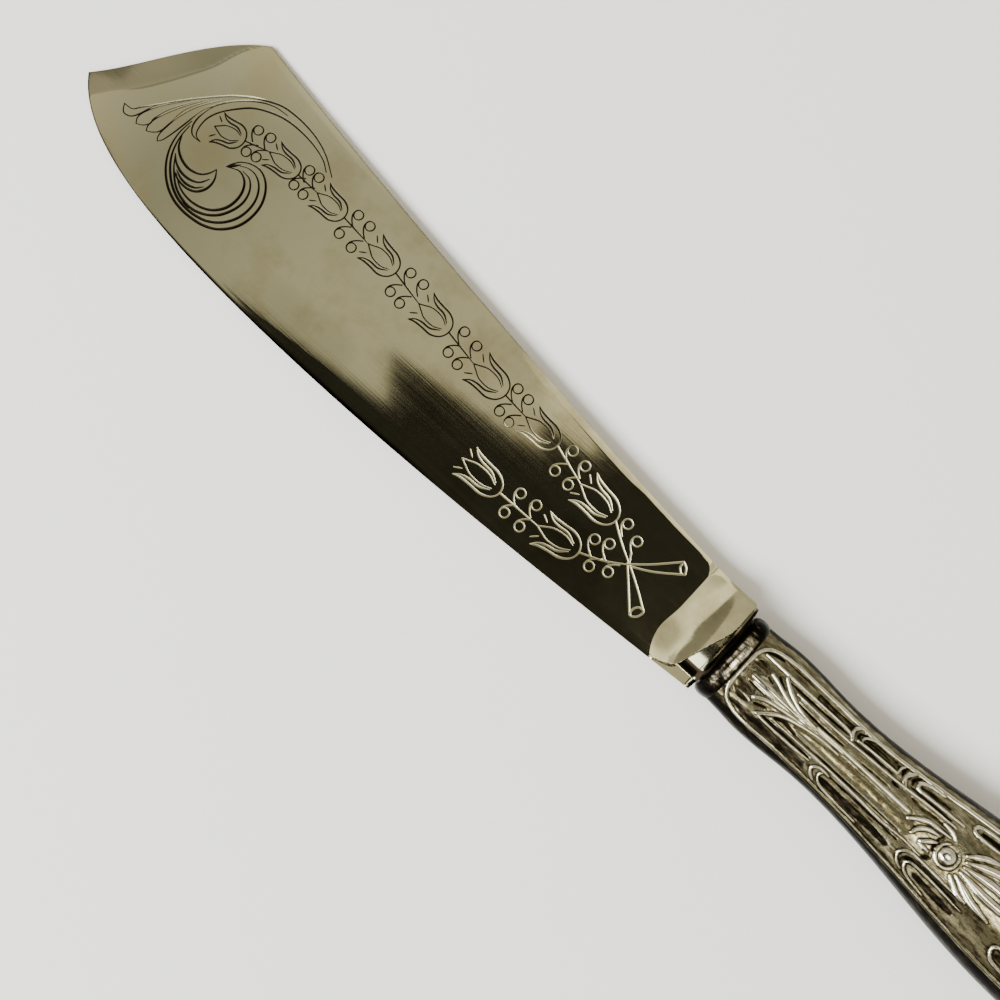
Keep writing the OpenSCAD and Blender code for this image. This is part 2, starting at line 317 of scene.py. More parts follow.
def repeated_lines(cloud, drawing):
    """The drawing on every point of the cloud, as lines of [x, y, half width]. Lines take no finish."""
    modifier = cloud.modifiers.new("repeat", "NODES")
    modifier.node_group = repeat_drawing
    modifier[sockets["Drawing"]] = drawing
    mesh = bpy.data.meshes.new_from_object(cloud.evaluated_get(bpy.context.evaluated_depsgraph_get()))
    cloud.modifiers.remove(modifier)
    places = np.array([v.co[:2] for v in mesh.vertices])
    widths = np.array([w.value for w in mesh.attributes["half_width"].data])
    table = np.column_stack([places, widths])
    joined = set(mesh.edge_keys)
    breaks = [0] + [i + 1 for i in range(len(table) - 1) if (i, i + 1) not in joined] + [len(table)]
    return [table[a:b] for a, b in zip(breaks, breaks[1:])]


grooves = repeated_lines(flower_points, flower) + repeated_lines(berry_points, berry)
for helper in (flower_points, berry_points, flower, berry):
    bpy.data.objects.remove(helper)
print(len(grooves), "repeated engraved lines")

# %% [markdown]
# ## Stems and scroll
# What doesn't repeat is drawn once: the stems from one flower's heart to the next flower's base, the two
# cut stalks below the crossing, and the leafy scroll that fills the blade's end. A graver starts a cut
# thin, presses, and lifts out of it, so each cut of the scroll is widest in its middle.

# %% Stems
CROSSING = (26.0, 0.4)
STEM, STEM_START = 0.21, 0.6
DRAW_STEP = 0.4


def heart_tip(plant):
    (x, y), turn, length, _ = plant
    reach = FLOWER_HEART[-1][0] * length
    return x + reach * math.cos(math.radians(turn)), y + reach * math.sin(math.radians(turn))


def stem(a, b, bow=0.0):
    """A stem from a to b, bowed to one side, as a line of [x, y, half width]."""
    middle = ((a[0] + b[0]) / 2, (a[1] + b[1]) / 2 + bow, STEM)
    return smooth_line([(*a, STEM * STEM_START), middle, (*b, STEM)], DRAW_STEP)


for spray in (MAIN_SPRAY, SIDE_SPRAY):
    grooves += [stem(heart_tip(before), after[0]) for before, after in zip(spray, spray[1:])]
grooves += [stem(CROSSING, MAIN_SPRAY[0][0], 0.2), stem(CROSSING, SIDE_SPRAY[0][0], 0.5)]
print(len(grooves), "lines with the stems")

# %% Cut stalks
STALKS = [[(26.4, 0.6), (22.5, -3.0), (18.1, -7.8)],
          [(26.0, 0.7), (21.4, -1.9), (16.1, -6.0)],
          [(18.1, -7.8), (16.9, -7.2), (16.1, -6.0)],
          [(18.0, -7.2), (17.9, -6.4), (17.0, -5.6)],
          [(26.4, 0.1), (21.5, 2.9), (17.8, 5.3)],
          [(26.6, 0.4), (22.8, 4.2), (19.2, 7.9)],
          [(17.4, 5.4), (18.6, 5.6), (19.3, 6.8), (18.9, 8.1), (17.7, 7.4), (17.2, 6.1), (17.4, 5.4)]]
# Three berries stand away from their stem, so their stalks are drawn on to it.
BERRY_JOINS = [[(27.3, -1.5), (26.9, -0.8), (26.4, -0.1)],
               [(31.2, 2.6), (30.5, 3.1), (29.6, 3.1)],
               [(34.1, 4.0), (33.4, 4.5), (32.5, 4.6)]]
grooves += [smooth_line([(*p, STEM) for p in stalk], DRAW_STEP) for stalk in STALKS + BERRY_JOINS]
print(len(grooves), "lines with the stalks")

# %% The scroll at the blade's end
SCROLL_ARMS = [[(129.3, -17.6), (133.5, -20.2), (137.3, -21.6), (141, -22.2), (144.6, -22.3),
                (148.4, -21.8), (152.3, -20), (155.3, -18.1), (158.5, -15.3), (161.7, -11.8), (165, -7.9),
                (168, -4), (170.5, -0.7), (171.7, 0.8), (173.8, 1.1)],
               [(131, -17.6), (133.6, -19.2), (137.5, -20.2), (142, -20.5), (146, -20.1), (149.5, -18.9),
                (152.5, -17.2), (155, -14.6), (157.2, -11.5), (158.2, -8.5), (158, -5.8), (157.2, -4.3),
                (155.6, -3.9)],
               [(146, -21.1), (149.5, -20.6), (153, -18.8), (156.3, -15.8), (158.9, -12), (159.7, -8.5),
                (159.4, -5.6), (158, -3.9), (155.6, -3.9)]]
SCROLL_FEATHERS = [[(157.8, -14.2), (160.2, -9.5), (160.8, -5), (161.3, -1.5), (161.9, 1.2), (162.6, 2.3)],
                   [(158.8, -13.8), (161.6, -9), (163, -4.5), (163.4, 0), (163.1, 1.7), (162.6, 2.3)],
                   [(160.8, -11.6), (163.2, -6.5), (163.5, -0.5), (164.6, 1.4), (166, 2.3)],
                   [(161.3, -11.6), (164.4, -6), (166.3, -1.2), (166.5, 1.1), (166, 2.3)],
                   [(162.3, -10.4), (165.6, -4.7), (166.6, -1), (166.5, 0.6), (167.5, 1.9), (168.8, 2.6)],
                   [(163, -10.2), (167.2, -4.4), (169.1, -0.8), (169.5, 1.3), (168.8, 2.6)],
                   [(164.2, -8.6), (168.3, -3.4), (169.6, 0.3), (170.8, 2.2), (172.6, 2.6), (173.8, 1.1)]]
SCROLL_CRESCENT = [[(147.6, -3.8), (147, -5.2), (145.8, -6.8), (143.9, -7.9), (141.5, -8.2), (139.2, -7.2),
                    (137.3, -5.2), (136.1, -2.6), (135.8, 0.4), (136.3, 3.2), (137.6, 5.6), (139.8, 7.7),
                    (142.6, 9), (145.5, 9.5), (148, 9.6), (150.8, 9.2), (153.6, 8.1), (156.2, 6.2),
                    (158.4, 3.6), (159.8, 0.7), (160.4, -2.5), (160.2, -6)],
                   [(145.5, -5.9), (144, -6.7), (141.8, -6.8), (139.6, -5.6), (138, -3.3), (137.4, -0.4),
                    (137.9, 2.8), (139.6, 5.6), (142.2, 7.6), (145, 8.5), (148, 8.7), (151, 8.2),
                    (154, 6.7), (156.8, 4.2), (158.6, 1.4), (159.6, -2), (159.8, -5)],
                   [(144.3, -5.5), (142, -5.2), (140.2, -3.4), (139.4, -0.8), (139.8, 2), (141.2, 4.8),
                    (143.5, 6.8), (146.3, 7.9), (149.3, 7.9), (152.5, 6.8), (155.5, 4.4), (157.6, 1.8)],
                   [(147.6, -3.8), (144.9, -5), (142.6, -4.2), (141.2, -2.2), (140.8, 0.4), (141.4, 3),
                    (143.2, 5.2), (145.8, 6.5), (148.8, 6.9), (151.8, 6.3), (154.6, 4.6)],
                   [(147.6, -3.8), (145.6, -6.2)]]
SCROLL_BUD = [[(148.7, -1.9), (147.6, -0.3), (147.2, 1.5), (147.6, 3.3), (148.9, 4.8), (151, 5.5),
               (153.5, 5.3), (155.5, 4.4)],
              [(148.7, -1.9), (149.2, -0.4), (150.3, 1), (152, 1.8), (154, 2), (156.3, 1.4), (158.3, 0),
               (159.6, -2.4)],
              [(148.3, 0.7), (149.4, 2.6), (151.5, 3.6), (154, 3.7), (156.2, 2.9), (157.8, 1.6)],
              [(148.1, 2.8), (149.3, 4.1), (151.2, 4.8), (153.2, 4.7), (155, 4)]]


def cut(pins, middle):
    """A cut that starts and leaves thin and is widest in the middle, as a graver makes it."""
    line = smooth_line(pins, DRAW_STEP)
    swell = np.sin(np.linspace(0, math.pi, len(line)))
    return np.column_stack([line, THIN + (middle - THIN) * swell])


for cuts, middle_width in ((SCROLL_ARMS, 0.26), (SCROLL_FEATHERS, 0.2), (SCROLL_CRESCENT, 0.36),
                           (SCROLL_BUD, 0.34)):
    grooves += [cut(pins, middle_width) for pins in cuts]
print(len(grooves), "lines with the scroll")

# %% Light and dark cuts
# A slanting border runs over the blade, from x at one height and by so much for each mm of height.
# Towards the tip, where the plate mirrors bright, the cuts carry old polish and are painted dark as shade.
# Near the bolster and at the feathers they are lighter.
LIGHT_CUTS_BORDER, LIGHT_CUTS_SLANT, LIGHT_CUTS_AT_Y = (61, 69), 2.2, -4
FEATHER_BORDER, FEATHER_SLANT, FEATHER_AT_Y, FEATHERS_LIGHTER = (156.4, 158.5), 0.6, -12, 0.85
DARK_CUTS_WIDER = 0.06


def dark_cut_share(plan):
    """Share of old polish and painted shade in the cuts: 0 near the bolster, 1 towards the tip, less at the
    feathers.
    """
    x, y = plan[:, 0], plan[:, 1]
    at_feathers = rise(x - FEATHER_SLANT * (y - FEATHER_AT_Y), *FEATHER_BORDER) * rise(-y, 0, 3)
    past_light_cuts = rise(x - LIGHT_CUTS_SLANT * (y - LIGHT_CUTS_AT_Y), *LIGHT_CUTS_BORDER)
    return past_light_cuts * (1 - FEATHERS_LIGHTER * at_feathers)


for line in grooves:
    line[:, 2] *= 1 + DARK_CUTS_WIDER * dark_cut_share(line)
drawn = sum(np.linalg.norm(np.diff(g[:, :2], axis=0), axis=1).sum() for g in grooves)
print(len(grooves), "engraved lines,", round(drawn), "mm in all")

# %% [markdown]
# ## Blade
# The blade is a forged plate, ground thinner at its edges, with a hollow swell that climbs to the drum of
# the bolster. Its upper face is one height over the plan, so it is made as a map: a Delaunay mesh takes
# the outline and both sides and the bottom of every engraved line as fixed edges, and each point is then
# lifted to its height. A boolean with hundreds of crossing cutters would be slower and could fail.

# %% Outline of the blade
BLADE_LEN = 184.6
HEEL_W = 22.0
BELLY = (108.0, 17.0)
TIP = (BLADE_LEN, 1.4)
SPINE_CORNER = (159.5, -30.1)
HEEL = (0.0, HEEL_W / 2)
REAR = (0.0, -HEEL_W / 2)
REAR_POINTS = 89
edge_line = np.vstack([bezier(HEEL, (36, 14), (72, BELLY[1]), BELLY, count=90),
                       bezier(BELLY, (147.8, BELLY[1]), (175, 14), TIP, count=90)[1:]])
end_line = bezier(TIP, (176.4, -7.4), (170.5, -22.4), SPINE_CORNER, count=60)
spine_line = bezier(SPINE_CORNER, (118, -23), (45, -14), REAR, count=140)
rear_line = np.column_stack([np.zeros(REAR_POINTS), np.linspace(REAR[1], HEEL[1], REAR_POINTS)])
outline = np.vstack([edge_line[:-1], end_line[:-1], spine_line[:-1], rear_line[:-1]])
outline_run = np.roll(outline, -1, axis=0) - np.roll(outline, 1, axis=0)
inward = np.column_stack([outline_run[:, 1], -outline_run[:, 0]])
inward = inward / np.linalg.norm(outline_run, axis=1)[:, None]


def edge_y(x):
    return np.interp(x, edge_line[:, 0], edge_line[:, 1])


def spine_y(x):
    return np.interp(x, spine_line[::-1, 0], spine_line[::-1, 1])


width_at_100 = round(edge_y(100) - spine_y(100), 1)
print("outline of", len(outline), "points; 100 mm from its rear end it is", width_at_100, "mm wide")

# %% [markdown]
# ## Height of the face
# A smith forges the plate with a slight camber, grinds a facet along the cutting edge and a bevel along
# the spine, and bends the end down a little. The swell and the drum are filed from the thicker shoulder.
# Each of these is one term of the height over the plan, so they meet exactly where the file met the plate.

# %% Sizes of the plate
CAMBER_R = 420.0
# A facet is ground along the cutting edge, as [x, width]; it runs out towards the tip.
EDGE_FACET = [(9.0, 0.0), (16.0, 2.4), (90.0, 4.0), (100.0, 3.8), (110.0, 3.0), (120.0, 1.9), (130.0, 1.2),
              (140.0, 0.75), (165.0, 0.4), (185.0, 0.25)]
EDGE_SLOPE, EDGE_ROUND = 0.055, 0.3
# The spine's bevel widens behind the bolster, and most of it is worn away further on.
SPINE_BEVELS, SPINE_SLOPE, SPINE_ROUND = (0.75, 1.4), 0.13, 0.15
SPINE_WIDENS, SPINE_FADES, SPINE_WORN = (15, 45), (48, 75), 0.8
# The end is bent down a little, from a slanting crease that starts at the spine's corner.
BEND = [(160.8, -29.6), (163.4, -24.4), (165.3, -18.2), (167.9, -13), (170.4, -8.6), (173.2, -4.2),
        (176.8, 0.2), (180, 4.5)]
BEND_SLANT = 0.85
END_REACH, END_DROP = 7.0, 0.06
# At the swell's foot the bevel flares into a small corner.
FOOT_X, FOOT_CORNER = 12.4, 2.0
bend_line = smooth_line(BEND, 0.5)


def beyond_bend(points):
    """Distance past the crease at the blade's end, towards the tip."""
    return BEND_SLANT * (points[:, 0] - np.interp(points[:, 1], bend_line[:, 1], bend_line[:, 0]))


def plate_height(points, thinned):
    """Height of the cambered plate with its facet and bevel, and with its bent end where it is thinned."""
    x, y = points.T
    to_edge, to_spine = (line_distance(points, line)[0] for line in (edge_line, spine_line))
    middle = (edge_y(x) + spine_y(x)) / 2
    plate = BLADE_T / 2 - (y - middle)**2 / (2 * CAMBER_R)
    facet = np.clip(np.interp(x, *np.transpose(EDGE_FACET)) - to_edge, 0, None)
    plate = plate - EDGE_SLOPE * facet**2 / (facet + EDGE_ROUND)
    bevel = SPINE_BEVELS[0] + (SPINE_BEVELS[1] - SPINE_BEVELS[0]) * rise(x, *SPINE_WIDENS)
    bevel = bevel + FOOT_CORNER * np.exp(-np.abs(x - FOOT_X))
    ground = np.clip(bevel - to_spine, 0, None)
    left_over = 1 - SPINE_WORN * rise(x, *SPINE_FADES)
    plate = plate - SPINE_SLOPE * ground**2 / (ground + SPINE_ROUND) * left_over
    if thinned:
        plate = plate - END_DROP * np.clip(beyond_bend(points) / END_REACH, 0, 1)**2
    return plate


print("plate heights:", plate_height(np.array([(100.0, 0), (100, 15), (175, -8)]), True).round(2))

# %% Sizes of the bolster
# Slope of the hollow swell at places along the blade: it steepens from its foot to the shoulder.
SWELL_SLOPE = [(0.0, 0.6), (3.7, 0.5), (7.1, 0.36), (12.0, 0.28), (20.0, 0.24)]
SWELL_STEP = 0.1
# Foot and rear end of the swell, as [y, x]: square to the knife, bent back at the edge.
SWELL_FOOT = [(-13, 12.7), (-11.6, 12.55), (-10, 12.4), (-8, 12.3), (-5, 12.3), (0, 12.35), (3, 12.7),
              (5, 12.85), (7, 12.6), (8.5, 12.1), (9.6, 11.6), (10.6, 11.0), (11.5, 10.4), (12.4, 9.8)]
SWELL_END = [(-13, 1.3), (-8, 1.3), (-5, 1.3), (-3.5, 1.4), (-2, 1.8), (0, 2.5), (5, 4.1), (8.8, 5.2),
             (10, 6.6), (10.8, 8.2), (11.4, 9.4), (12.4, 9.8)]
FOOT_BEND = 6.0
# The swell becomes rounder across the blade as it nears the drum.
CROWN_R, CROWN_REACH = 150.0, 6.0
DRUM_HALF, DRUM_H, DRUM_ROLL = 9.7, 4.2, 0.08
FLANGE_LEN, FLANGE_HALF, FLANGE_H = 0.9, 11.2, 4.7
LEDGE_Y, LEDGE_H, LEDGE_DISH, LEDGE_FALL = 8.8, 0.25, 0.2, 0.1
LEDGE_X, LEDGE_RUN = 3, 6.5

swell_foot, swell_end = smooth_line(SWELL_FOOT, SWELL_STEP), smooth_line(SWELL_END, SWELL_STEP)
swell_x = np.linspace(0, 20, 201)
swell_slope = np.interp(swell_x, *np.transpose(SWELL_SLOPE))
climbed = np.r_[0, np.cumsum((swell_slope[1:] + swell_slope[:-1]) / 2 * SWELL_STEP)]
print("the swell climbs", round(np.interp(FOOT_X, swell_x, climbed), 2), "mm from its foot to the rear end")

# %% Height of the upper face


def arch(y, height, half):
    """An elliptical arch over the blade's middle line."""
    return height * np.sqrt(1 - np.clip(np.abs(y) / half, 0, 1)**2)


def face_height(points, thinned=True):
    """Height of the smooth face over the blade's middle plane, before it is engraved."""
    x, y = points.T
    plate = plate_height(points, thinned)
    foot = np.interp(y, *swell_foot.T)
    here, at_foot, square = (np.interp(place, swell_x, climbed) for place in (x, foot, FOOT_X))
    swell = plate + np.clip(square - here + (at_foot - square) * rise(x, foot - FOOT_BEND, foot), 0, None)
    swell = swell - y**2 / (2 * CROWN_R) * rise(foot - x, 0, CROWN_REACH)
    drum = arch(y, DRUM_H, DRUM_HALF) - DRUM_ROLL * y
    dish, fall = LEDGE_DISH * np.clip(y - LEDGE_Y, 0, None), LEDGE_FALL * np.clip(x - LEDGE_X, 0, LEDGE_RUN)
    ledge = plate + LEDGE_H + dish - fall
    rear = np.where(x < FLANGE_LEN, arch(y, FLANGE_H, FLANGE_HALF), np.maximum(drum, ledge))
    return np.where(x > np.interp(y, *swell_end.T), swell, rear)


probe = face_height(np.array([(100.0, 0), (10, 0), (5, 0), (3, -6), (1.5, 3), (0.2, 0), (3, 10)]))
print("face heights along the blade:", probe.round(2))

# %% [markdown]
# ## Depth of the engraving
# A graver is a pointed steel that ploughs a V-shaped groove, the wider the deeper. So a cut's half width
# already says its depth, and where two cuts cross, the deeper one is what remains.

# %% Depth of the engraving
GRAVER_SLOPE, FAINTEST = 0.65, 0.015


def near_line(points, line):
    """Indexes of the points that lie in a line's box, grown by its greatest half width."""
    reach = line[:, 2].max()
    low, high = line[:, :2].min(0) - reach, line[:, :2].max(0) + reach
    return np.all((points >= low) & (points <= high), axis=1).nonzero()[0]


def engraved_depth(points):
    """Depth of the V-shaped cuts at each point: deepest on a line, nothing at its half width."""
    depth = np.zeros(len(points))
    for line in grooves:
        near = near_line(points, line)
        if len(near):
            away, width = line_distance(points[near], line)
            depth[near] = np.maximum(depth[near], GRAVER_SLOPE * np.clip(width[:, 0] - away, 0, None))
    return np.where(depth < FAINTEST, 0, depth)


print("deepest cut:", round(GRAVER_SLOPE * max(line[:, 2].max() for line in grooves), 2), "mm")

# %% [markdown]
# ## Plan of the face
# A mesh shows a sharp line only where its edges run along that line. So the plan collects rows of points:
# the middle and the border of every cut, both sides of each crease, and rows along the ground edges. Free
# points fill the rest, close together where the face bends and far apart where it is nearly flat.

# %% Borders of the cuts


def cut_border(line):
    """The closed border of a cut: along one side, round its end, back along the other, round its start."""
    run = np.gradient(line[:, :2], axis=0)
    run /= np.maximum(np.linalg.norm(run, axis=1), 1e-9)[:, None]
    aside = np.column_stack([-run[:, 1], run[:, 0]]) * line[:, 2:3]
    left, right = line[:, :2] + aside, line[:, :2] - aside
    after, before = line[-1, :2] + run[-1] * line[-1, 2], line[0, :2] - run[0] * line[0, 2]
    return np.vstack([left, after, right[::-1], before, left[0]])


cut_rows = [row for line in grooves for row in (line[:, :2], cut_border(line))]
print(len(cut_rows), "rows along the cuts")

# %% Free points
SWELL_SPACING, SWELL_RANGE, SWELL_MARGIN = 0.3, (0.2, 14), 0.35
PLATE_SPACING, PLATE_RANGE, PLATE_MARGIN = 2.2, (14.5, 186), 4.6
LATTICE_Y, LATTICE_ROW = (-32, 19), 0.866
BORDER_ROWS = (0.12, 0.35, 0.7, 1.2, 1.8, 2.4, 3.0, 3.6, 4.2)


def inside_points(step, x_range, margin):
    """A triangular lattice of points inside the outline."""
    xs = np.arange(x_range[0], x_range[1], step)
    ys = np.arange(*LATTICE_Y, step * LATTICE_ROW)
    lattice = np.array([(x + (k % 2) * step / 2, y) for k, y in enumerate(ys) for x in xs])
    x, y = lattice.T
    lattice = lattice[(y < edge_y(x) - margin) & (y > spine_y(x) + margin) & (x > margin)]
    x, y = lattice.T
    before_end = x < np.interp(y, end_line[::-1, 1], end_line[::-1, 0])
    return lattice[(line_distance(lattice, end_line)[0] > margin) & (x < BLADE_LEN) & before_end]


def border_points():
    """Rows of points just inside the outline, where the face is ground down, but not across a corner."""
    ring = np.vstack([outline, outline[:1]])
    rows = [(margin, outline + margin * inward) for margin in BORDER_ROWS]
    return np.vstack([row[line_distance(row, ring)[0] > margin * 0.97] for margin, row in rows])


all_free = np.vstack([inside_points(SWELL_SPACING, SWELL_RANGE, SWELL_MARGIN),
                      inside_points(PLATE_SPACING, PLATE_RANGE, PLATE_MARGIN), border_points()])
uncut_free = all_free[engraved_depth(all_free) < 1e-6]
print(len(all_free), "free points,", len(uncut_free), "of them clear of the cuts")

# %% Rows along the creases
CREASE_REACH, CREASE_POINTS = 10.9, 75
FOOT_FROM, FOOT_TO = -11.8, 11.1
FLANGE_ROWS = (0.5, 0.62, FLANGE_LEN - 0.03, FLANGE_LEN + 0.03, 1.2)
FACET_FROM, FACET_TO = 17, 150

end_part = swell_end[np.abs(swell_end[:, 0]) < CREASE_REACH][:, ::-1]
foot_part = swell_foot[(swell_foot[:, 0] > FOOT_FROM) & (swell_foot[:, 0] < FOOT_TO)][:, ::-1]
across = np.linspace(-CREASE_REACH, CREASE_REACH, CREASE_POINTS)
crease_rows = [end_part + (gap, 0) for gap in (0.0, 0.06)]
crease_rows += [foot_part + (gap, 0) for gap in (-0.04, 0.04)]
crease_rows += [np.column_stack([np.full(CREASE_POINTS, x), across]) for x in FLANGE_ROWS]
# Rows along the upper end of the ground facet.
facet_width = np.interp(edge_line[:-1, 0], *np.transpose(EDGE_FACET))
ground_part = (edge_line[:-1, 0] > FACET_FROM) & (edge_line[:-1, 0] < FACET_TO)
for gap in (0.0, 0.15, 0.4):
    row = edge_line[:-1] + inward[:len(edge_line) - 1] * (facet_width - gap)[:, None]
    crease_rows.append(row[ground_part])
to_sides = [line_distance(bend_line, side)[0] for side in (edge_line, end_line, spine_line)]
inner_bend = bend_line[np.min(to_sides, axis=0) > 1]
bend_rows = [inner_bend + (gap, 0) for gap in (-0.5, 0, 0.5)]
print("the end is bent from", inner_bend[0].round(1), "to", inner_bend[-1].round(1))

# %% Triangles over the plan
INSIDE_ONLY, MERGED_WITHIN = 1, 5e-4


def plan_mesh(lines, free):
    """Triangles over the outline that keep the given lines as edges. Returns points, faces, outline order."""
    points = [tuple(p) for p in outline]
    edges = [(i, (i + 1) % len(outline)) for i in range(len(outline))]
    for line in lines:
        first = len(points)
        points += [tuple(p) for p in line]
        edges += [(i, i + 1) for i in range(first, len(points) - 1)]
    points += [tuple(p) for p in free]
    result = delaunay_2d_cdt([Vector(p) for p in points], edges, [], INSIDE_ONLY, MERGED_WITHIN)
    found = {source: i for i, sources in enumerate(result[3]) for source in sources}
    ring = [found[i] for i in range(len(outline))]
    return np.array([v[:] for v in result[0]]), np.array([f[:] for f in result[2]]), ring


top_plan, top_faces, top_ring = plan_mesh(cut_rows + crease_rows + bend_rows, uncut_free)
back_plan, back_faces, back_ring = plan_mesh(crease_rows, all_free)
print("upper face:", len(top_faces), "triangles; back face:", len(back_faces))

# %% [markdown]
# ## Blade mesh
# A mirror shows every uneven normal. Smooth shading would average the normals of large and small
# triangles, so the plate's own slope is worked out and given to each corner instead. Only the walls of the
# cuts and the rim keep their flat normals, as a tool leaves them.

# %% Normals


def face_normals(plan, ring, **how):
    """Normals of the face from its slope; those of the outline are taken a little further in."""
    nudge = 0.012
    plan = plan.copy()
    plan[ring] += 2 * nudge * inward
    slope = [(face_height(plan + step, **how) - face_height(plan - step, **how)) / (2 * nudge)
             for step in (np.array((nudge, 0)), np.array((0, nudge)))]
    normal = np.column_stack([-slope[0], -slope[1], np.ones(len(plan))])
    return normal / np.linalg.norm(normal, axis=1)[:, None]


def upward(points, faces):
    """Faces turned so that they look up."""
    a, b, c = (points[faces[:, k]] for k in range(3))
    down = (b[:, 0] - a[:, 0]) * (c[:, 1] - a[:, 1]) - (b[:, 1] - a[:, 1]) * (c[:, 0] - a[:, 0]) < 0
    faces[down] = faces[down][:, ::-1]
    return faces


def flat_normals(points, faces):
    a, b, c = (points[faces[:, k]] for k in range(3))
    normal = np.cross(b - a, c - a)
    return normal / np.maximum(np.linalg.norm(normal, axis=1), 1e-12)[:, None]


top_smooth = face_normals(top_plan, top_ring)
back_smooth = face_normals(back_plan, back_ring, thinned=False) * (1, 1, -1)
print("share of the upper face that is nearly level:", (top_smooth[:, 2] > 0.99).mean().round(2))

# %% Upper face, back face and rim
depth = engraved_depth(top_plan)
top_points = np.column_stack([top_plan, face_height(top_plan) - depth])
top_faces = upward(top_plan, top_faces)
in_cut = depth[top_faces].max(axis=1) > 1e-4
top_corners = np.where(in_cut[:, None, None], flat_normals(top_points, top_faces)[:, None, :],
                       top_smooth[top_faces])
back_points = np.column_stack([back_plan, -face_height(back_plan, thinned=False)])
back_faces = upward(back_plan, back_faces)[:, ::-1]
shift = len(top_points)
rim = []
for i, k in zip(range(len(outline)), np.roll(range(len(outline)), -1)):
    rim += [(top_ring[i], top_ring[k], back_ring[i] + shift),
            (top_ring[k], back_ring[k] + shift, back_ring[i] + shift)]
rim = np.array(rim)
blade_points = np.vstack([top_points, back_points])
blade_faces = np.vstack([top_faces, back_faces + shift, rim])
blade_corners = np.vstack([top_corners, back_smooth[back_faces],
                           np.repeat(flat_normals(blade_points, rim)[:, None, :], 3, axis=1)])
print("blade:", len(blade_faces), "triangles,", int(in_cut.sum()), "of them in the cuts")

# %% [markdown]
# ## Stub and tang
# Behind the shoulder an oval stub fills the collar's hole, and a flat tang holds the blade in the handle's
# cement. On the real knife they are one forging with the blade. They hardly show, so they are plain closed
# bars through a few rings, which need no subdivision.

# %% Rings and closed bars
OVAL_POWER = 2.5
MOUTH_X, MOUTH_W, MOUTH_T = -4.4, 19.8, 10.6


def oval(angle, half_y, half_z):
    """Points of the handle's full-bodied oval, squarer than an ellipse."""
    bend = 2 / OVAL_POWER
    return (half_y * np.sign(np.cos(angle)) * np.abs(np.cos(angle))**bend,
            half_z * np.sign(np.sin(angle)) * np.abs(np.sin(angle))**bend)


def mouth_ring(x, grow, count=160):
    """Points round the handle's mouth, grown outwards, at one place along the knife."""
    angle = np.linspace(0, 2 * np.pi, count, endpoint=False)
    return np.column_stack([np.full(count, x), *oval(angle, MOUTH_W / 2 + grow, MOUTH_T / 2 + grow)])


def closed_bar(rings):
    """Points and faces of a bar through rings of equal count, with both ends closed by a middle point."""
    count = len(rings[0])
    points = np.vstack(rings + [rings[0].mean(0)[None], rings[-1].mean(0)[None]])
    faces = []
    for i in range(len(rings) - 1):
        for j in range(count):
            a, b = i * count + j, i * count + (j + 1) % count
            faces += [(a, b, b + count), (a, b + count, a + count)]
    last = (len(rings) - 1) * count
    for j in range(count):
        k = (j + 1) % count
        faces += [(len(points) - 2, k, j), (len(points) - 1, last + j, last + k)]
    return points, np.array(faces)


print("the mouth's ring is", mouth_ring(0, 0)[:, 1].max() * 2, "mm wide")

# %% Stub and tang
LIP_END, STUB_INSET, STUB_FRONT, STUB_POINTS = -6.9, 1.9, 0.2, 48
TANG_LEN, TANG_W, TANG_END_W, TANG_T = 62.0, 9.0, 5.0, 4.0


def tang_ring(x, width):
    half_y, half_z = width / 2, TANG_T / 2
    return np.array([(x, half_y, half_z), (x, -half_y, half_z), (x, -half_y, -half_z), (x, half_y, -half_z)])


stub_points, stub_faces = closed_bar([mouth_ring(x, -STUB_INSET, STUB_POINTS) for x in (LIP_END, STUB_FRONT)])
tang_sections = ((LIP_END - TANG_LEN, TANG_END_W), (LIP_END, TANG_W), (LIP_END + 1, TANG_W))
tang_points, tang_faces = closed_bar([tang_ring(x, width) for x, width in tang_sections])
for island_points, island_faces in ((stub_points, stub_faces), (tang_points, tang_faces)):
    island_corners = flat_normals(island_points, island_faces)[:, None, :].repeat(3, axis=1)
    blade_faces = np.vstack([blade_faces, island_faces + len(blade_points)])
    blade_points = np.vstack([blade_points, island_points])
    blade_corners = np.vstack([blade_corners, island_corners])
print("blade with stub and tang:", len(blade_faces), "triangles")

# %% [markdown]
# ## Polish and painted shade on the blade
# Old polish stays in the cuts, and shade is painted on the metal: in the cuts, along the rims, on the
# bolster's rear and drum, along its creases and on the bent end. Painting a texture would need an unwrapped
# blade. Here two numbers on the corners of the triangles tell the finish how dark and how dull the metal is.

# %% Where the plain face is darker
# Painted shade on the bolster: its rear and drum are darker, its drum's foot and flange carry painted shadow,
# and its crease is darker.
REAR_SHADE, DRUM_SHADE, DRUM_FOOT_SHADOW, CREASE_DARKER, FLANGE_SHADOW = 0.45, 0.58, 0.9, 0.8, 0.85
DRUM_DULL, CREASE_DULL = 0.2, 0.5
# Painted shade along the cutting edge, the end and the spine, and on the bent end and its crease; the belly
# has a real stain.
EDGE_SHADE, SIDE_SHADE, SIDE_WIDTH = 0.75, 0.4, 0.4
BENT_END_SHADE, BENT_SPINE_SHADE, BEND_CREASE_SHADE, BELLY_DIRT = 0.33, 0.09, 0.42, 0.2


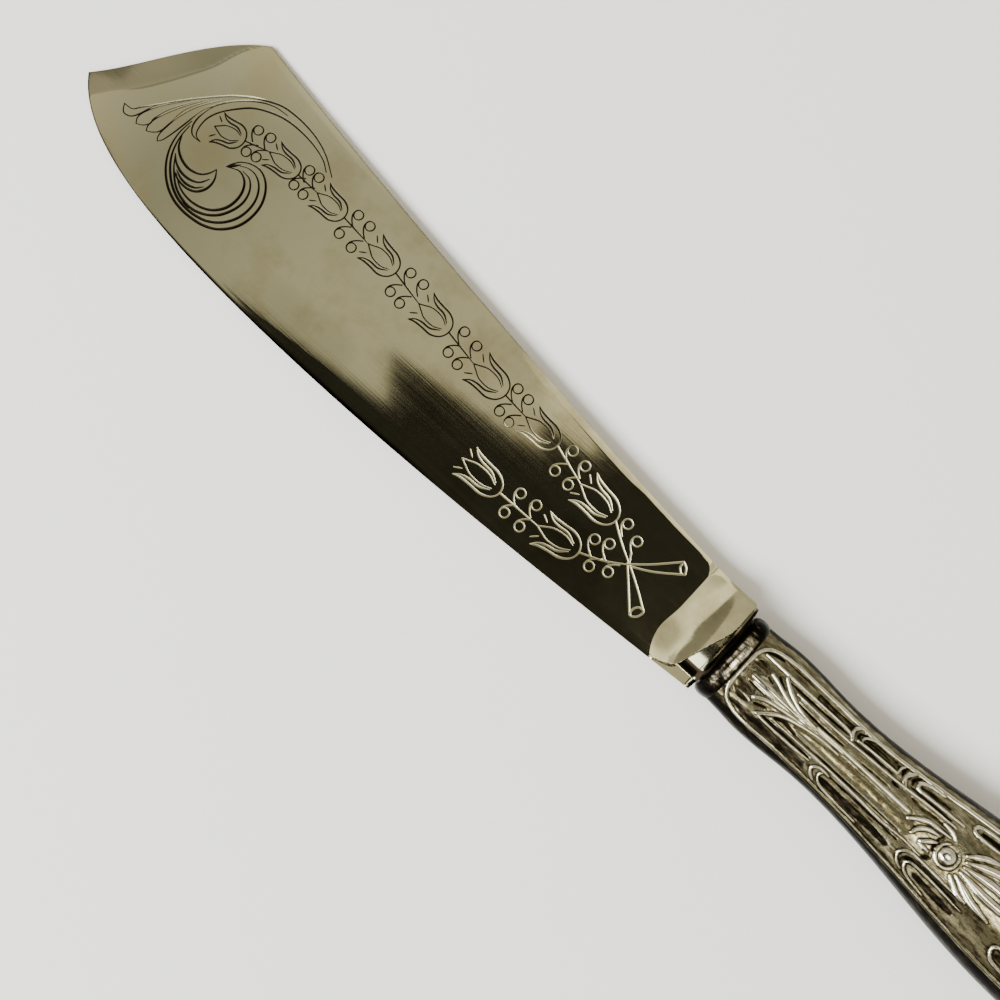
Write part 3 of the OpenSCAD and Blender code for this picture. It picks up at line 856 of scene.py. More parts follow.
def bolster_shade(x, y):
    """Painted shade and dullness of the bolster: darker rear and drum, painted shadow at the drum's foot, on
    the flange and in the groove before it, and darker along the crease.
    """
    behind = np.interp(y, *swell_end.T) - x
    rear = rise(behind, 0.02, 0.3)
    on_drum = rear * rise(-y, -LEDGE_Y, -LEDGE_Y + 0.4)
    drum_foot = on_drum * rise(y, 6.3, 6.8)
    crease = rise(behind, -0.1, 0.02) * rise(-behind, -0.5, -0.1)
    flange_groove = rise(x, FLANGE_LEN, FLANGE_LEN + 0.05) * rise(-x, -1.3, -1.15)
    flange = np.maximum(rise(-x, -0.62, -0.5), flange_groove)
    darkening = [REAR_SHADE * rear, DRUM_SHADE * on_drum, DRUM_FOOT_SHADOW * drum_foot, CREASE_DARKER * crease,
            FLANGE_SHADOW * flange]
    return np.maximum.reduce(darkening), np.maximum(DRUM_DULL * on_drum, CREASE_DULL * crease)


def stain_and_painted_shade(plan, thinned):
    """Painted shade and dullness of the plain face: on the bolster, along the rims and on the bent end, with
    a stain at the belly.
    """
    x, y = plan.T
    darkening, dullness = bolster_shade(x, y)
    # Painted shade along the cutting edge, the end and the spine.
    edge_width = 1.1 - 0.75 * rise(x, 120, 165)
    for side, share, width in ((edge_line, EDGE_SHADE, edge_width), (end_line, SIDE_SHADE, SIDE_WIDTH),
                               (spine_line, SIDE_SHADE, SIDE_WIDTH)):
        close = rise(width - line_distance(plan, side)[0], 0, 0.6 * width)
        darkening = np.maximum(darkening, share * close * rise(x, 60, 80))
    belly = rise(y, 1, 8) * rise(x, 92, 102) * rise(-x, -142, -115)
    darkening = np.maximum(darkening, BELLY_DIRT * belly)
    if thinned:
        # Painted shade on the bent end and along its crease.
        past = beyond_bend(plan)
        bent = (BENT_END_SHADE + BENT_SPINE_SHADE * rise(-y, 10, 20)) * rise(past, 0, 0.6)
        bend = BEND_CREASE_SHADE * rise(-np.abs(past), -0.5, 0) * rise(-y, -1, 4)
        darkening = np.maximum(darkening, np.maximum(bent, bend))
    return darkening, dullness


top_darkening, top_dull = stain_and_painted_shade(top_plan, True)
back_darkening, back_dull = stain_and_painted_shade(back_plan, False)
print("mean dirt of the upper face:", top_darkening.mean().round(3))

# %% Polish and painted shade in the cuts
# The cuts are dark from wall to wall, partly with old polish and partly with painted shade, so both numbers
# are held by the corners of the triangles. A dark cut is painted lighter at its rim, where its walls catch
# the light as a thin highlight. The blade's rim is darker.
RIM_DARKER, RIM_DULL = 0.3, 0.3
full = dark_cut_share(top_plan)
dark_cut_darkening = 0.6 + 0.4 * rise(depth, 0.01, 0.06)
light_cut_darkening = 0.1 + 0.5 * rise(depth, 0.03, 0.12)
cut_darkening = full * dark_cut_darkening + (1 - full) * light_cut_darkening
top_grime_and_shade = np.where(in_cut[:, None], cut_darkening[top_faces], top_darkening[top_faces])
top_matt = np.where(in_cut[:, None], 1.0, top_dull[top_faces])
# The stub and tang are painted black and dull, as shade in the gap and inside the handle.
stub_shade_and_dull = np.ones(3 * (len(stub_faces) + len(tang_faces)))
grime_and_shade = np.r_[top_grime_and_shade.ravel(), back_darkening[back_faces].ravel(), np.full(rim.size, RIM_DARKER), stub_shade_and_dull]
dull = np.r_[top_matt.ravel(), back_dull[back_faces].ravel(), np.full(rim.size, RIM_DULL), stub_shade_and_dull]
print("corners with dirt:", int((grime_and_shade > 0.1).sum()), "of", len(grime_and_shade))

# %% [markdown]
# ## From arrays to pieces
# Every piece ends as a plain mesh at the origin with its place in its points. One function does that, with
# the corner normals where they are known and the numbers of points or corners that the finish reads.

# %% Pieces
WELD_WITHIN = 1e-7


def enclosed_volume(mesh):
    """Volume inside a closed mesh; it is positive when the faces point outwards."""
    mesh.calc_loop_triangles()
    places = np.array([v.co for v in mesh.vertices])
    a, b, c = places[[t.vertices[:] for t in mesh.loop_triangles]].transpose(1, 0, 2)
    return np.einsum("ij,ij->i", a, np.cross(b, c)).sum() / 6


def make_piece(name, points, faces, corners=None, attributes=None):
    mesh = bpy.data.meshes.new(name)
    mesh.from_pydata(to_model(points), [], [tuple(map(int, f)) for f in faces])
    for key, values in (attributes or {}).items():
        domain = "POINT" if len(values) == len(points) else "CORNER"
        mesh.attributes.new(key, "FLOAT", domain).data.foreach_set("value", np.asarray(values, np.float32))
    if corners is None:
        # A row of points that meets in one place, as at the handle's end, becomes one point.
        welded = bmesh.new()
        welded.from_mesh(mesh)
        bmesh.ops.remove_doubles(welded, verts=welded.verts, dist=WELD_WITHIN)
        welded.to_mesh(mesh)
        welded.free()
    mesh.shade_smooth()
    if corners is not None:
        mesh.normals_split_custom_set((corners.reshape(-1, 3) @ np.array(lean).T).tolist())
    volume = enclosed_volume(mesh)
    print(name, "encloses", round(volume * 1e6, 2), "cm3 in", len(mesh.loop_triangles), "triangles")
    piece = bpy.data.objects.new(name, mesh)
    bpy.context.scene.collection.objects.link(piece)
    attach(piece, "root")
    return piece


blade = make_piece("engraved_blade", blade_points, blade_faces, blade_corners, {"grime_and_shade": grime_and_shade, "dull": dull})
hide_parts("blade")
print(blade.name, "has", len(blade.data.polygons), "faces")

# %% [markdown]
# ## Handle form
# The handle is an oval bar whose width and thickness change along its length, stamped as two halves. The
# same few sizes as in the solid model give its form: mouth, bulge, waist and widest place, then an arched
# end. Points are spread evenly round each section, so that the relief is equally crisp everywhere.

# %% Sizes and sections of the handle
HANDLE_LEN, BULGE_U, WAIST_U, WIDEST_U = 111.6, 9.0, 25.6, 84.0
SECTIONS_AT = (0, BULGE_U, WAIST_U, WIDEST_U)
WIDTHS = (MOUTH_W, 20.9, 19.2, 29.6)
THICKNESSES = (MOUTH_T, 11.2, 11.0, 16.4)
WALL, SEAM_T = 0.6, 0.3
BODY_ROWS, END_ROWS, ROUND_POINTS = 353, 96, 193
# Rows lie closer together at the front, where the ornament is finest.
CLOSER_FRONT = 0.25


def along_handle(u, sizes):
    """A half size at the distance u behind the mouth, easing from one named place to the next."""
    k = np.clip(np.searchsorted(SECTIONS_AT, u, side="right") - 1, 0, 2)
    a, b = np.take(sizes, k), np.take(sizes, k + 1)
    start, stop = np.take(SECTIONS_AT, k), np.take(SECTIONS_AT, k + 1)
    return (a + (b - a) * (1 - np.cos(np.pi * (u - start) / (stop - start))) / 2) / 2


def handle_stations(inset):
    """Rows of [x, half width, half thickness] from the mouth to the butt."""
    share = np.linspace(0, 1, BODY_ROWS)
    u = WIDEST_U * share * (1 - CLOSER_FRONT + CLOSER_FRONT * share)
    body = np.column_stack([MOUTH_X - u, along_handle(u, WIDTHS) - inset,
                            along_handle(u, THICKNESSES) - inset])
    turn = np.linspace(0, np.pi / 2, END_ROWS + 1)[1:]
    end = np.column_stack([MOUTH_X - WIDEST_U - (HANDLE_LEN - inset - WIDEST_U) * np.sin(turn),
                           (WIDTHS[3] / 2 - inset) * np.cos(turn),
                           (THICKNESSES[3] / 2 - inset) * np.cos(turn)])
    return np.vstack([body, end])


def half_section(half_w, half_t):
    """Even points along the upper half of the oval, from +Y to -Y."""
    angle = np.linspace(0, np.pi, 721)
    y, z = oval(angle, half_w, np.maximum(half_t - SEAM_T / 2, 0))
    z = SEAM_T / 2 + z
    run = np.r_[0, np.cumsum(np.hypot(np.diff(y), np.diff(z)))]
    at = np.linspace(0, run[-1], ROUND_POINTS)
    return np.column_stack([np.interp(at, run, y), np.interp(at, run, z)])


def half_form(inset=0.0):
    """Grid of points of one half of the handle: rows along its length, columns round it."""
    return np.array([[(x, y, z) for y, z in half_section(w, t)] for x, w, t in handle_stations(inset)])


form = half_form()
print("handle half of", form.shape[0], "by", form.shape[1], "points")

# %% [markdown]
# ## Handle relief
# The stamped ornament is a common one for such handles: a thread that frames the front, a palmette of five
# leaves behind the collar, a smooth rib, side panels with hooked ends, and a leaf spray with a ball. Each
# line or leaf is a raised stroke with its own width and height, and the highest one wins. The panels are
# strokes too, but sunk. The stamping sits a little off the middle, and the drawing keeps that.

# %% Strokes of the relief
# Points are [x, y, half width, height] in mm, on the plan of the handle. Heights taper with the width.
STROKE_STEP = 0.5
THREAD_HALF, THREAD_H, FRAMING_HALF, FRAMING_H = 0.3, 0.36, 0.4, 0.34


def tapered(pins, widths, height):
    """A stroke whose half width runs through the given values and whose height follows it."""
    line = smooth_line(pins, STROKE_STEP)
    width = np.interp(np.linspace(0, 1, len(line)), np.linspace(0, 1, len(widths)), widths)
    return np.column_stack([line, width, height * np.sqrt(width / max(widths))])


def thread(pins, half=THREAD_HALF, height=THREAD_H):
    return tapered(pins, (half * 0.6, half, half, half, half, half * 0.6), height)


FRAMING_THREAD = [(-75, -11.5), (-65, -10.4), (-55, -9.2), (-50, -8.6), (-45, -8.0), (-40, -7.5),
                  (-35, -7.2), (-30, -7.3), (-25, -7.4), (-20, -7.4), (-14, -7.5), (-10, -7.2),
                  (-7.4, -6.5), (-5.9, -5.4), (-5.1, -3.8), (-4.9, -1), (-4.9, 3), (-5.1, 5.2), (-6, 6.8),
                  (-7.6, 7.8), (-10, 8.4), (-14, 8.6), (-20, 8.5), (-30, 8.6), (-40, 9.0), (-50, 9.8),
                  (-60, 10.8), (-75, 12.2), (-88, 12.6), (-98, 11.8), (-106, 8.6), (-110.5, 4.4), (-112, 0),
                  (-110.5, -4.4), (-106, -8.4), (-98, -11.4), (-88, -12.2), (-75, -11.5)]
INNER_THREADS = [[(-6.6, -4.9), (-10, -4.85), (-16, -4.75), (-25, -4.8), (-29.5, -4.65)],
                 [(-31.6, -4.5), (-35, -4.75), (-38, -4.9), (-41.6, -5.0)],
                 [(-16.6, -3.1), (-20, -3.0), (-25, -2.9), (-30, -3.0), (-35, -3.3), (-40, -3.5),
                  (-44, -3.75), (-50, -4.35), (-57, -4.75)],
                 [(-15.8, 4.3), (-20, 4.3), (-25, 4.2), (-30, 4.1), (-35, 4.15), (-40, 4.3), (-45, 4.5),
                  (-51, 4.2), (-55, 4.4)],
                 [(-12.8, 5.65), (-18, 5.8), (-22, 5.7), (-27, 5.4)],
                 [(-8.4, 0.9), (-11, 0.95), (-13.5, 1.0)]]
relief = [tapered(FRAMING_THREAD, (FRAMING_HALF, FRAMING_HALF), FRAMING_H)]
relief += [thread(line) for line in INNER_THREADS]
print(len(relief), "threads")

# %% Palmette and rib
# Leaves as pins and the half widths along them.
PALMETTE = [([(-31, -0.3), (-24, -0.35), (-20, -0.75), (-16.5, -1.9), (-14.2, -3.2), (-12.9, -4.2)],
             (0.25, 0.3, 0.3, 0.32, 0.4, 0.36)),
            ([(-24, 0.1), (-18.5, -0.3), (-15, -1.1), (-12, -2.2), (-10.3, -2.6)],
             (0.2, 0.3, 0.34, 0.38, 0.32)),
            ([(-20, 0.35), (-14, 0.3), (-10, 0.15), (-7.7, 0.15)], (0.3, 0.5, 0.75, 0.5)),
            ([(-22, 0.8), (-19, 1.15), (-16, 1.65), (-13, 2.2), (-11.5, 2.8), (-10.4, 3.4)],
             (0.2, 0.3, 0.4, 0.45, 0.4)),
            ([(-30.5, 0.5), (-26, 0.6), (-22, 1.2), (-18, 2.2), (-15.5, 3.4), (-13.8, 4.8), (-12.8, 5.6)],
             (0.25, 0.3, 0.35, 0.45, 0.45, 0.35))]
RIB_ROLL = [(-24, -0.75), (-30, -0.8), (-40, -0.75), (-48, -0.7)]
relief += [tapered(leaf, widths, THREAD_H) for leaf, widths in PALMETTE]
relief.append(tapered(RIB_ROLL, (0.35, 0.5, 0.5, 0.5), THREAD_H))
# The rib is broad and flat, so it has a profile of its own.
RIB = [(-21, 2.4), (-26, 2.0), (-32, 1.85), (-40, 1.85), (-49.5, 1.9)]
broad = [tapered(RIB, (0.7, 1.4, 1.6, 1.65, 1.65), 0.24)]
# The palmette's leaves lie on one smooth swelling, which hands have kept clean.
PALMETTE_GROUND = [(-26, 0.2), (-20, 0.15), (-15, 0.05), (-11.5, 0.1), (-9.4, 0.15)]
ground = [tapered(PALMETTE_GROUND, (0.5, 1.2, 2.1, 2.4, 1.3), 0.2)]
print(len(relief) + len(broad) + len(ground), "strokes at the front of the handle")

# %% Hooks
# Each one as its pins and half width.
HOOK_H = 0.42
HOOKS = [([(-30.7, -3.8), (-30.0, -4.8), (-29.9, -6.0), (-30.9, -7.1)], 0.42),
         ([(-34.8, -7.0), (-33.2, -6.4), (-32.3, -5.5), (-32.6, -4.9)], 0.28),
         ([(-44.8, -3.8), (-43.7, -4.8), (-43.6, -6.2), (-44.9, -7.6)], 0.5),
         ([(-41.7, -5.1), (-41.7, -6.2), (-42.4, -7.2)], 0.26),
         ([(-58, -6.1), (-50, -5.6), (-47.5, -5.45), (-46.4, -5.9), (-46.7, -6.9), (-48.2, -7.6),
           (-52, -8.2)], 0.36),
         ([(-32, 5.0), (-29.6, 5.0), (-28.3, 5.9), (-28.8, 6.9), (-30.2, 7.7)], 0.32),
         ([(-30.7, 5.4), (-30.3, 6.0), (-30.9, 7.0), (-32.6, 7.7), (-36, 8.0), (-42, 8.3)], 0.28),
         ([(-66, 5.5), (-57, 5.1), (-53.7, 5.1), (-52.2, 5.9), (-51.9, 7.0), (-52.8, 8.2), (-54.4, 8.9)],
          0.34),
         ([(-68, 7.2), (-60, 6.6), (-55.7, 6.5), (-54.3, 7.0), (-54.6, 8.2), (-56.5, 9.2), (-61, 10.0)],
          0.28),
         ([(-70, -7.2), (-63, -6.6), (-60.4, -6.8), (-60.2, -7.8), (-62, -8.6), (-70, -9.5)], 0.36),
         ([(-88, 8.0), (-80, 7.2), (-77.4, 7.6), (-77.6, 9.4), (-80, 10.4), (-88, 10.8)], 0.36),
         ([(-88, -7.8), (-78, -7.0), (-75.4, -7.4), (-75.6, -9.0), (-78, -9.9), (-88, -10.4)], 0.36)]
relief += [tapered(hook, (half * 0.7, half, half, half * 0.6), HOOK_H) for hook, half in HOOKS]
print(len(HOOKS), "hooks")

# %% Leaf spray and ball
# Leaves as pins and half width.
SPRAY_H, SPRAY_ROOT, SPRAY_TIP = 0.5, 0.25, 0.3
SPRAY_LEAVES = [([(-57.4, -2.4), (-54, -2.1), (-52.3, -1.9), (-50.4, -0.9), (-48.7, 0.3)], 0.5),
                ([(-55.4, -1.2), (-53.2, -0.7), (-51.6, 0.5), (-51.0, 2.0)], 0.5),
                ([(-56, 0.1), (-54.6, 1.1), (-53.4, 2.1)], 0.45),
                ([(-55.8, 2.7), (-53.6, 2.6)], 0.5),
                ([(-58.6, -2.8), (-57.0, -3.6), (-55.0, -3.8)], 0.4),
                ([(-63, 1.3), (-70, 1.9), (-78, 1.6)], 0.9),
                ([(-63, 0.1), (-70, -0.9), (-78, -0.6)], 0.9),
                ([(-62.8, 2.4), (-68, 4.4), (-73, 5.2)], 0.8),
                ([(-62.8, -1.0), (-68, -3.2), (-73, -4.2)], 0.8),
                ([(-62, 3.2), (-65, 5.0), (-67.5, 5.4)], 0.55),
                ([(-62, -1.9), (-65, -4.0), (-68, -5.2)], 0.6)]
relief += [tapered(leaf, (SPRAY_ROOT, half, half, SPRAY_TIP), SPRAY_H) for leaf, half in SPRAY_LEAVES]
BALL, BALL_R, BALL_H = (-59.2, 0.7), 1.6, 0.8
RING_R, RING_HALF, RING_H = (2.35, 2.5), 0.34, 0.42
relief.append(tapered([(BALL[0] - 0.2, BALL[1]), (BALL[0] + 0.2, BALL[1])], (BALL_R, BALL_R), BALL_H))
ball_ring = [(BALL[0] + RING_R[0] * math.cos(a), BALL[1] + RING_R[1] * math.sin(a))
             for a in np.linspace(-1.1, 4.0, 14)]
relief.append(thread(ball_ring, RING_HALF, RING_H))
print(len(SPRAY_LEAVES), "leaves round the ball")

# %% Shell at the handle's end
# Nine lobes fan out from one knob, and each ends short of the framing thread.
SHELL_ROOT, SHELL_R, SHELL_GAP = (-88.0, 0.4), 19.0, 2.1
LOBES, LOBE_START, LOBE_H = 9, 1.5, 0.55
KNOB_R, KNOB_H = 1.7, 0.6
for angle in np.radians(np.linspace(116, 244, LOBES)):
    way = (math.cos(angle), math.sin(angle))
    places = np.linspace(LOBE_START, SHELL_R, 60)[:, None] * way + SHELL_ROOT
    clear = line_distance(places, smooth_line(FRAMING_THREAD, 1.0))[0] > SHELL_GAP
    last = np.argmin(clear) - 1
    relief.append(tapered([places[0], places[last // 2], places[last]], (0.35, 0.95, 1.35), LOBE_H))
knob = [(SHELL_ROOT[0] + 0.8, SHELL_ROOT[1]), (SHELL_ROOT[0] + 1.2, SHELL_ROOT[1])]
relief.append(tapered(knob, (KNOB_R, KNOB_R), KNOB_H))
print(len(relief), "raised strokes")

# %% Sunk panels and grooves
# Each one as its pins, half width and depth; the deeper it is, the blacker it has become.
SUNK = [([(-29.6, -5.9), (-25, -5.75), (-20.3, -5.85)], 0.75, 0.07),
        ([(-29.7, -6.4), (-25, -6.2), (-20.2, -6.4)], 0.15, 0.16),
        ([(-29.6, -5.35), (-25, -5.3), (-20.2, -5.3)], 0.17, 0.17),
        ([(-20.2, -6.3), (-20.1, -5.3)], 0.14, 0.14),
        ([(-41.2, -6.2), (-37, -6.1), (-33.4, -5.8)], 0.75, 0.075),
        ([(-40.8, -6.8), (-37, -6.7), (-34.2, -6.5)], 0.14, 0.13),
        ([(-41, -5.5), (-36, -5.3), (-32.8, -5.2)], 0.15, 0.15),
        ([(-39, -6.1), (-36, -6.0), (-33.6, -5.8)], 0.14, 0.13),
        ([(-10.2, -6.4), (-8, -6.0), (-6.4, -5.4)], 0.45, 0.15),
        ([(-19, -6.6), (-15, -6.7), (-11, -6.7)], 0.22, 0.08),
        ([(-19.4, -5.7), (-14, -5.7), (-10.5, -5.8)], 0.5, 0.035),
        ([(-54, -6.8), (-50, -6.7), (-47.4, -6.4)], 0.6, 0.085),
        ([(-50, -6.5), (-48.6, -6.4), (-47.3, -6.2)], 0.25, 0.15),
        ([(-46.2, -7.5), (-45.2, -6.4), (-45.4, -5.4)], 0.36, 0.15),
        ([(-43.0, -7.4), (-42.5, -6.2), (-42.9, -5.3)], 0.32, 0.14),
        ([(-33.2, -6.7), (-31.3, -5.9), (-31.4, -4.9)], 0.28, 0.15),
        ([(-55.5, -5.2), (-50, -5.0), (-45.6, -4.8)], 0.28, 0.14),
        ([(-41, -4.3), (-36, -4.1), (-31.2, -3.9)], 0.28, 0.16),
        ([(-29.5, -4.1), (-24, -3.9), (-17.6, -3.8), (-13.8, -3.9)], 0.34, 0.12),
        ([(-55.8, -3.5), (-52.5, -3.3), (-49.5, -3.0), (-47, -3.2)], 0.5, 0.09),
        ([(-43.6, -3.0), (-42, -3.0)], 0.34, 0.13),
        ([(-30, -1.6), (-24, -1.45), (-18, -1.75)], 0.26, 0.15),
        ([(-42, -1.7), (-38.5, -1.6), (-35.2, -1.5)], 0.18, 0.09),
        ([(-49, 3.6), (-40, 3.5), (-30, 3.5), (-22, 3.5)], 0.22, 0.1),
        ([(-21.6, 3.5), (-18.4, 3.0), (-16.4, 3.7)], 0.46, 0.16),
        ([(-50, 5.15), (-40, 5.0), (-31.2, 5.0)], 0.26, 0.12),
        ([(-26.5, 5.0), (-20, 5.05), (-14, 5.1)], 0.28, 0.15),
        ([(-49, 7.3), (-44, 6.95), (-38, 6.9), (-31.6, 6.6)], 0.8, 0.13),
        ([(-26.4, 6.9), (-17, 7.0), (-7.6, 7.0)], 1.0, 0.065),
        ([(-20, 6.7), (-16, 7.0), (-12, 7.2), (-8, 7.1)], 0.34, 0.12),
        ([(-67, 8.8), (-62, 8.5), (-57.2, 8.0)], 0.65, 0.14),
        ([(-66, 6.3), (-60, 6.1), (-55.4, 5.9), (-53.5, 6.7), (-53.5, 8.0), (-55.2, 9.0)], 0.28, 0.15),
        ([(-14.2, -1.8), (-12.8, -2.6), (-11.6, -3.3)], 0.34, 0.13),
        ([(-11.4, -1.1), (-9.9, -1.6)], 0.3, 0.12),
        ([(-13.4, 3.5), (-12, 4.0), (-11.2, 4.3)], 0.4, 0.13),
        ([(-11.4, 1.7), (-9, 1.7), (-7.6, 1.5)], 0.26, 0.12),
        ([(-8.8, -2.2), (-7.4, -2.8), (-6.2, -2.2)], 0.95, 0.075),
        ([(-9.0, 2.9), (-7.2, 3.2), (-6.0, 2.6)], 1.1, 0.085),
        ([(-9.8, 4.9), (-7.4, 4.9), (-6.2, 4.4)], 0.6, 0.09),
        ([(-56.6, 3.4), (-55.8, 4.2)], 0.6, 0.14),
        ([(-56.3, -1.8), (-55.9, 0), (-56.2, 2.0)], 0.3, 0.13),
        ([(-62, -7.6), (-67, -8.0), (-73, -8.5)], 0.6, 0.14),
        ([(-79, 8.9), (-84, 9.2), (-88, 9.4)], 0.7, 0.14),
        ([(-78, -8.5), (-83, -8.9), (-88, -9.2)], 0.7, 0.14)]
sunk = [tapered(pins, (half * 0.7, half, half, half * 0.7), deep) for pins, half, deep in SUNK]
print(len(sunk), "sunk strokes")

# %% [markdown]
# ## Height, tarnish and painted shade of the handle
# A die stamps all the strokes at once, so the sheet takes the height of the highest stroke at each point.
# The same heights say where silver tarnishes: a cloth and a hand reach the crests but not the hollows. Shade
# is painted on the rib, on the side towards the cutting edge and on the flanks.
# Sculpting would give softer forms, but heights from strokes can be measured and changed one by one.

# %% Measuring strokes and grids


def stroke_height(points, strokes, power=0.5):
    """Height of the highest stroke at each point: round-backed with the power 0.5, flatter with 1."""
    height = np.zeros(len(points))
    for stroke in strokes:
        near = near_line(points, stroke)
        if len(near):
            away, numbers = line_distance(points[near], stroke)
            share = np.clip(away / np.maximum(numbers[:, 0], 1e-6), 0, 1)
            height[near] = np.maximum(height[near], numbers[:, 1] * (1 - share**2)**power)
    return height


def inside_framing(points):
    """1 inside the framing thread, 0 outside: a ray from an inner point crosses it an odd number of times."""
    ring = smooth_line(FRAMING_THREAD, 1.0)[:, :2]
    inside = np.zeros(len(points), bool)
    for (x0, y0), (x1, y1) in zip(ring, np.roll(ring, -1, axis=0)):
        crosses = (y0 > points[:, 1]) != (y1 > points[:, 1])
        inside ^= crosses & (points[:, 0] < (x1 - x0) * (points[:, 1] - y0) / (y1 - y0 + 1e-12) + x0)
    return inside.astype(float)


def grid_normals(grid):
    along, across = np.gradient(grid, axis=0), np.gradient(grid, axis=1)
    normal = np.cross(along, across)
    return normal / np.maximum(np.linalg.norm(normal, axis=2), 1e-9)[:, :, None]


def blurred(grid, times):
    """The grid, evened out with its neighbours."""
    for _ in range(times):
        padded = np.pad(grid, 1, mode="edge")
        grid = (padded[:-2, 1:-1] + padded[2:, 1:-1] + padded[1:-1, :-2] + padded[1:-1, 2:] + 2 * grid) / 6
    return grid


print("the ball stands inside the framing thread:", bool(inside_framing(np.array([BALL]))[0]))

# %% Height of the relief
# The relief stands about the solid's face, so the plain form under it is sunk, except round the flanks.
# Nothing goes deeper than the wall, because the cement's face lies there.
RELIEF, FIELD_SINK, FACE_SINK = 0.8, 0.05, 0.3
plan = form[:, :, :2].reshape(-1, 2)
crest, rib_height, ground_height, slots, field = (values.reshape(form.shape[:2]) for values in (
    stroke_height(plan, relief), stroke_height(plan, broad, 1), stroke_height(plan, ground, 1),
    stroke_height(plan, sunk), inside_framing(plan)))
slots = slots * (1 - rise(crest, 0.05, 0.2))
field = blurred(field, 3)
facing_up = grid_normals(form)[:, :, 2]
stamped = RELIEF * np.maximum(crest, np.maximum(rib_height, ground_height)) - slots - FIELD_SINK * field
raised = stamped - FACE_SINK * rise(facing_up, 0.25, 0.8)
print("relief from", raised.min().round(2), "to", raised.max().round(2), "mm")

# %% Where tarnish gathers and shade is painted
# Tone is 0 for black and 1 for bright. High strokes are rubbed bright and hollows are tarnished dark. The
# rib, the side towards the cutting edge and both flanks are painted darker, as shade.
FIELD_TONE, CREST_LIMIT, GROUND_TONE = 0.42, 0.4, 0.04
RIB_DARKER, SLOT_DARKER, FOOT_DARKER, OUTSIDE_DARKER, EDGE_DARKER = 0.4, 3.4, 3.6, 0.06, 0.17
EDGE_FLANK, SPINE_FLANK = 0.7, 0.8
stroke_foot = np.clip(blurred(stamped, 4) - stamped, 0, None)
tone = FIELD_TONE + np.minimum(crest, CREST_LIMIT) - RIB_DARKER * rib_height
tone = tone - SLOT_DARKER * blurred(slots, 2) - FOOT_DARKER * stroke_foot
tone = tone + GROUND_TONE * rise(ground_height, 0, 0.1) * (1 - rise(crest, 0, 0.2))
tone = tone - OUTSIDE_DARKER * (1 - field) - EDGE_DARKER * rise(form[:, :, 1], 4.5, 6)
# Painted shade on both flanks.
flank = np.where(form[:, :, 1] > 0, EDGE_FLANK * rise(-facing_up, -0.84, -0.5),
                 SPINE_FLANK * rise(-facing_up, -0.72, -0.4))
tone = np.clip(np.clip(tone, 0, 1) - flank, 0, 1)
print("mean tone of the handle:", tone.mean().round(2))

# %% [markdown]
# ## Handle shells
# Each half was stamped from thin sheet, so it is a shell and not a lump. Its outer face carries the relief,
# the inner face is plain and has a quarter of the rows and columns, and the soldered edge and the mouth
# between them are many-sided faces that meet both. Lifting a grid keeps the faces even, which a boolean
# would not.

# %% Faces of a shell
COARSE = 4


def shell_faces(rows, columns, step):
    """Faces of a shell whose outer grid comes first and whose inner grid has every step-th row and column."""
    inner_rows, inner_columns = (rows - 1) // step + 1, (columns - 1) // step + 1
    base = rows * columns

    def outer(i, j):
        return i * columns + j

    def inner(i, j):
        return base + i * inner_columns + j

    faces = [(outer(i, j), outer(i + 1, j), outer(i + 1, j + 1), outer(i, j + 1))
             for i in range(rows - 1) for j in range(columns - 1)]
    faces += [(inner(i, j), inner(i, j + 1), inner(i + 1, j + 1), inner(i + 1, j))
              for i in range(inner_rows - 1) for j in range(inner_columns - 1)]
    for k in range(inner_rows - 1):
        for j_out, j_in, flip in ((0, 0, True), (columns - 1, inner_columns - 1, False)):
            along = [outer(k * step + n, j_out) for n in range(step + 1)]
            face = along + [inner(k + 1, j_in), inner(k, j_in)]
            faces.append(face[::-1] if flip else face)
    for k in range(inner_columns - 1):
        faces.append([outer(0, k * step + n) for n in range(step + 1)] + [inner(0, k + 1), inner(0, k)])
    return faces


print("a shell of 9 by 9 points has", len(shell_faces(9, 9, COARSE)), "faces")

# %% Handle shells
TURNED_OVER = (1, -1, -1)
inner_points = half_form(WALL)[::COARSE, ::COARSE].reshape(-1, 3)
outer_points = (form + raised[:, :, None] * grid_normals(form)).reshape(-1, 3)
shell_points = np.vstack([outer_points, inner_points])
shell_tone = np.r_[tone.ravel(), np.zeros(len(inner_points))]


def make_shell(name, node, turn):
    shell = make_piece(name, shell_points * turn, shell_faces(*form.shape[:2], COARSE),
                       attributes={"tone": shell_tone})
    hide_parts(node)
    return shell


front_shell = make_shell("stamped_front", "handle_front_shell", (1, 1, 1))
back_shell = make_shell("stamped_back", "handle_back_shell", TURNED_OVER)
print("each shell has", len(front_shell.data.polygons), "faces")

# %% [markdown]
# ## Collar
# A turned bead closes the handle's mouth. It is a ring of the mouth's oval swept round a rounded profile,
# smooth all the way, so a plain loft of many thin rings is enough.

# %% Collar bead
BEAD_FRONT, BEAD_CREST, BEAD_FALL, BEAD_ROWS = -0.6, 0.3, 1.2, 25
COLLAR_HOLE, LIP_INSET = 1.85, 0.65
bead_middle, bead_half = (BEAD_FRONT + MOUTH_X) / 2, (BEAD_FRONT - MOUTH_X) / 2

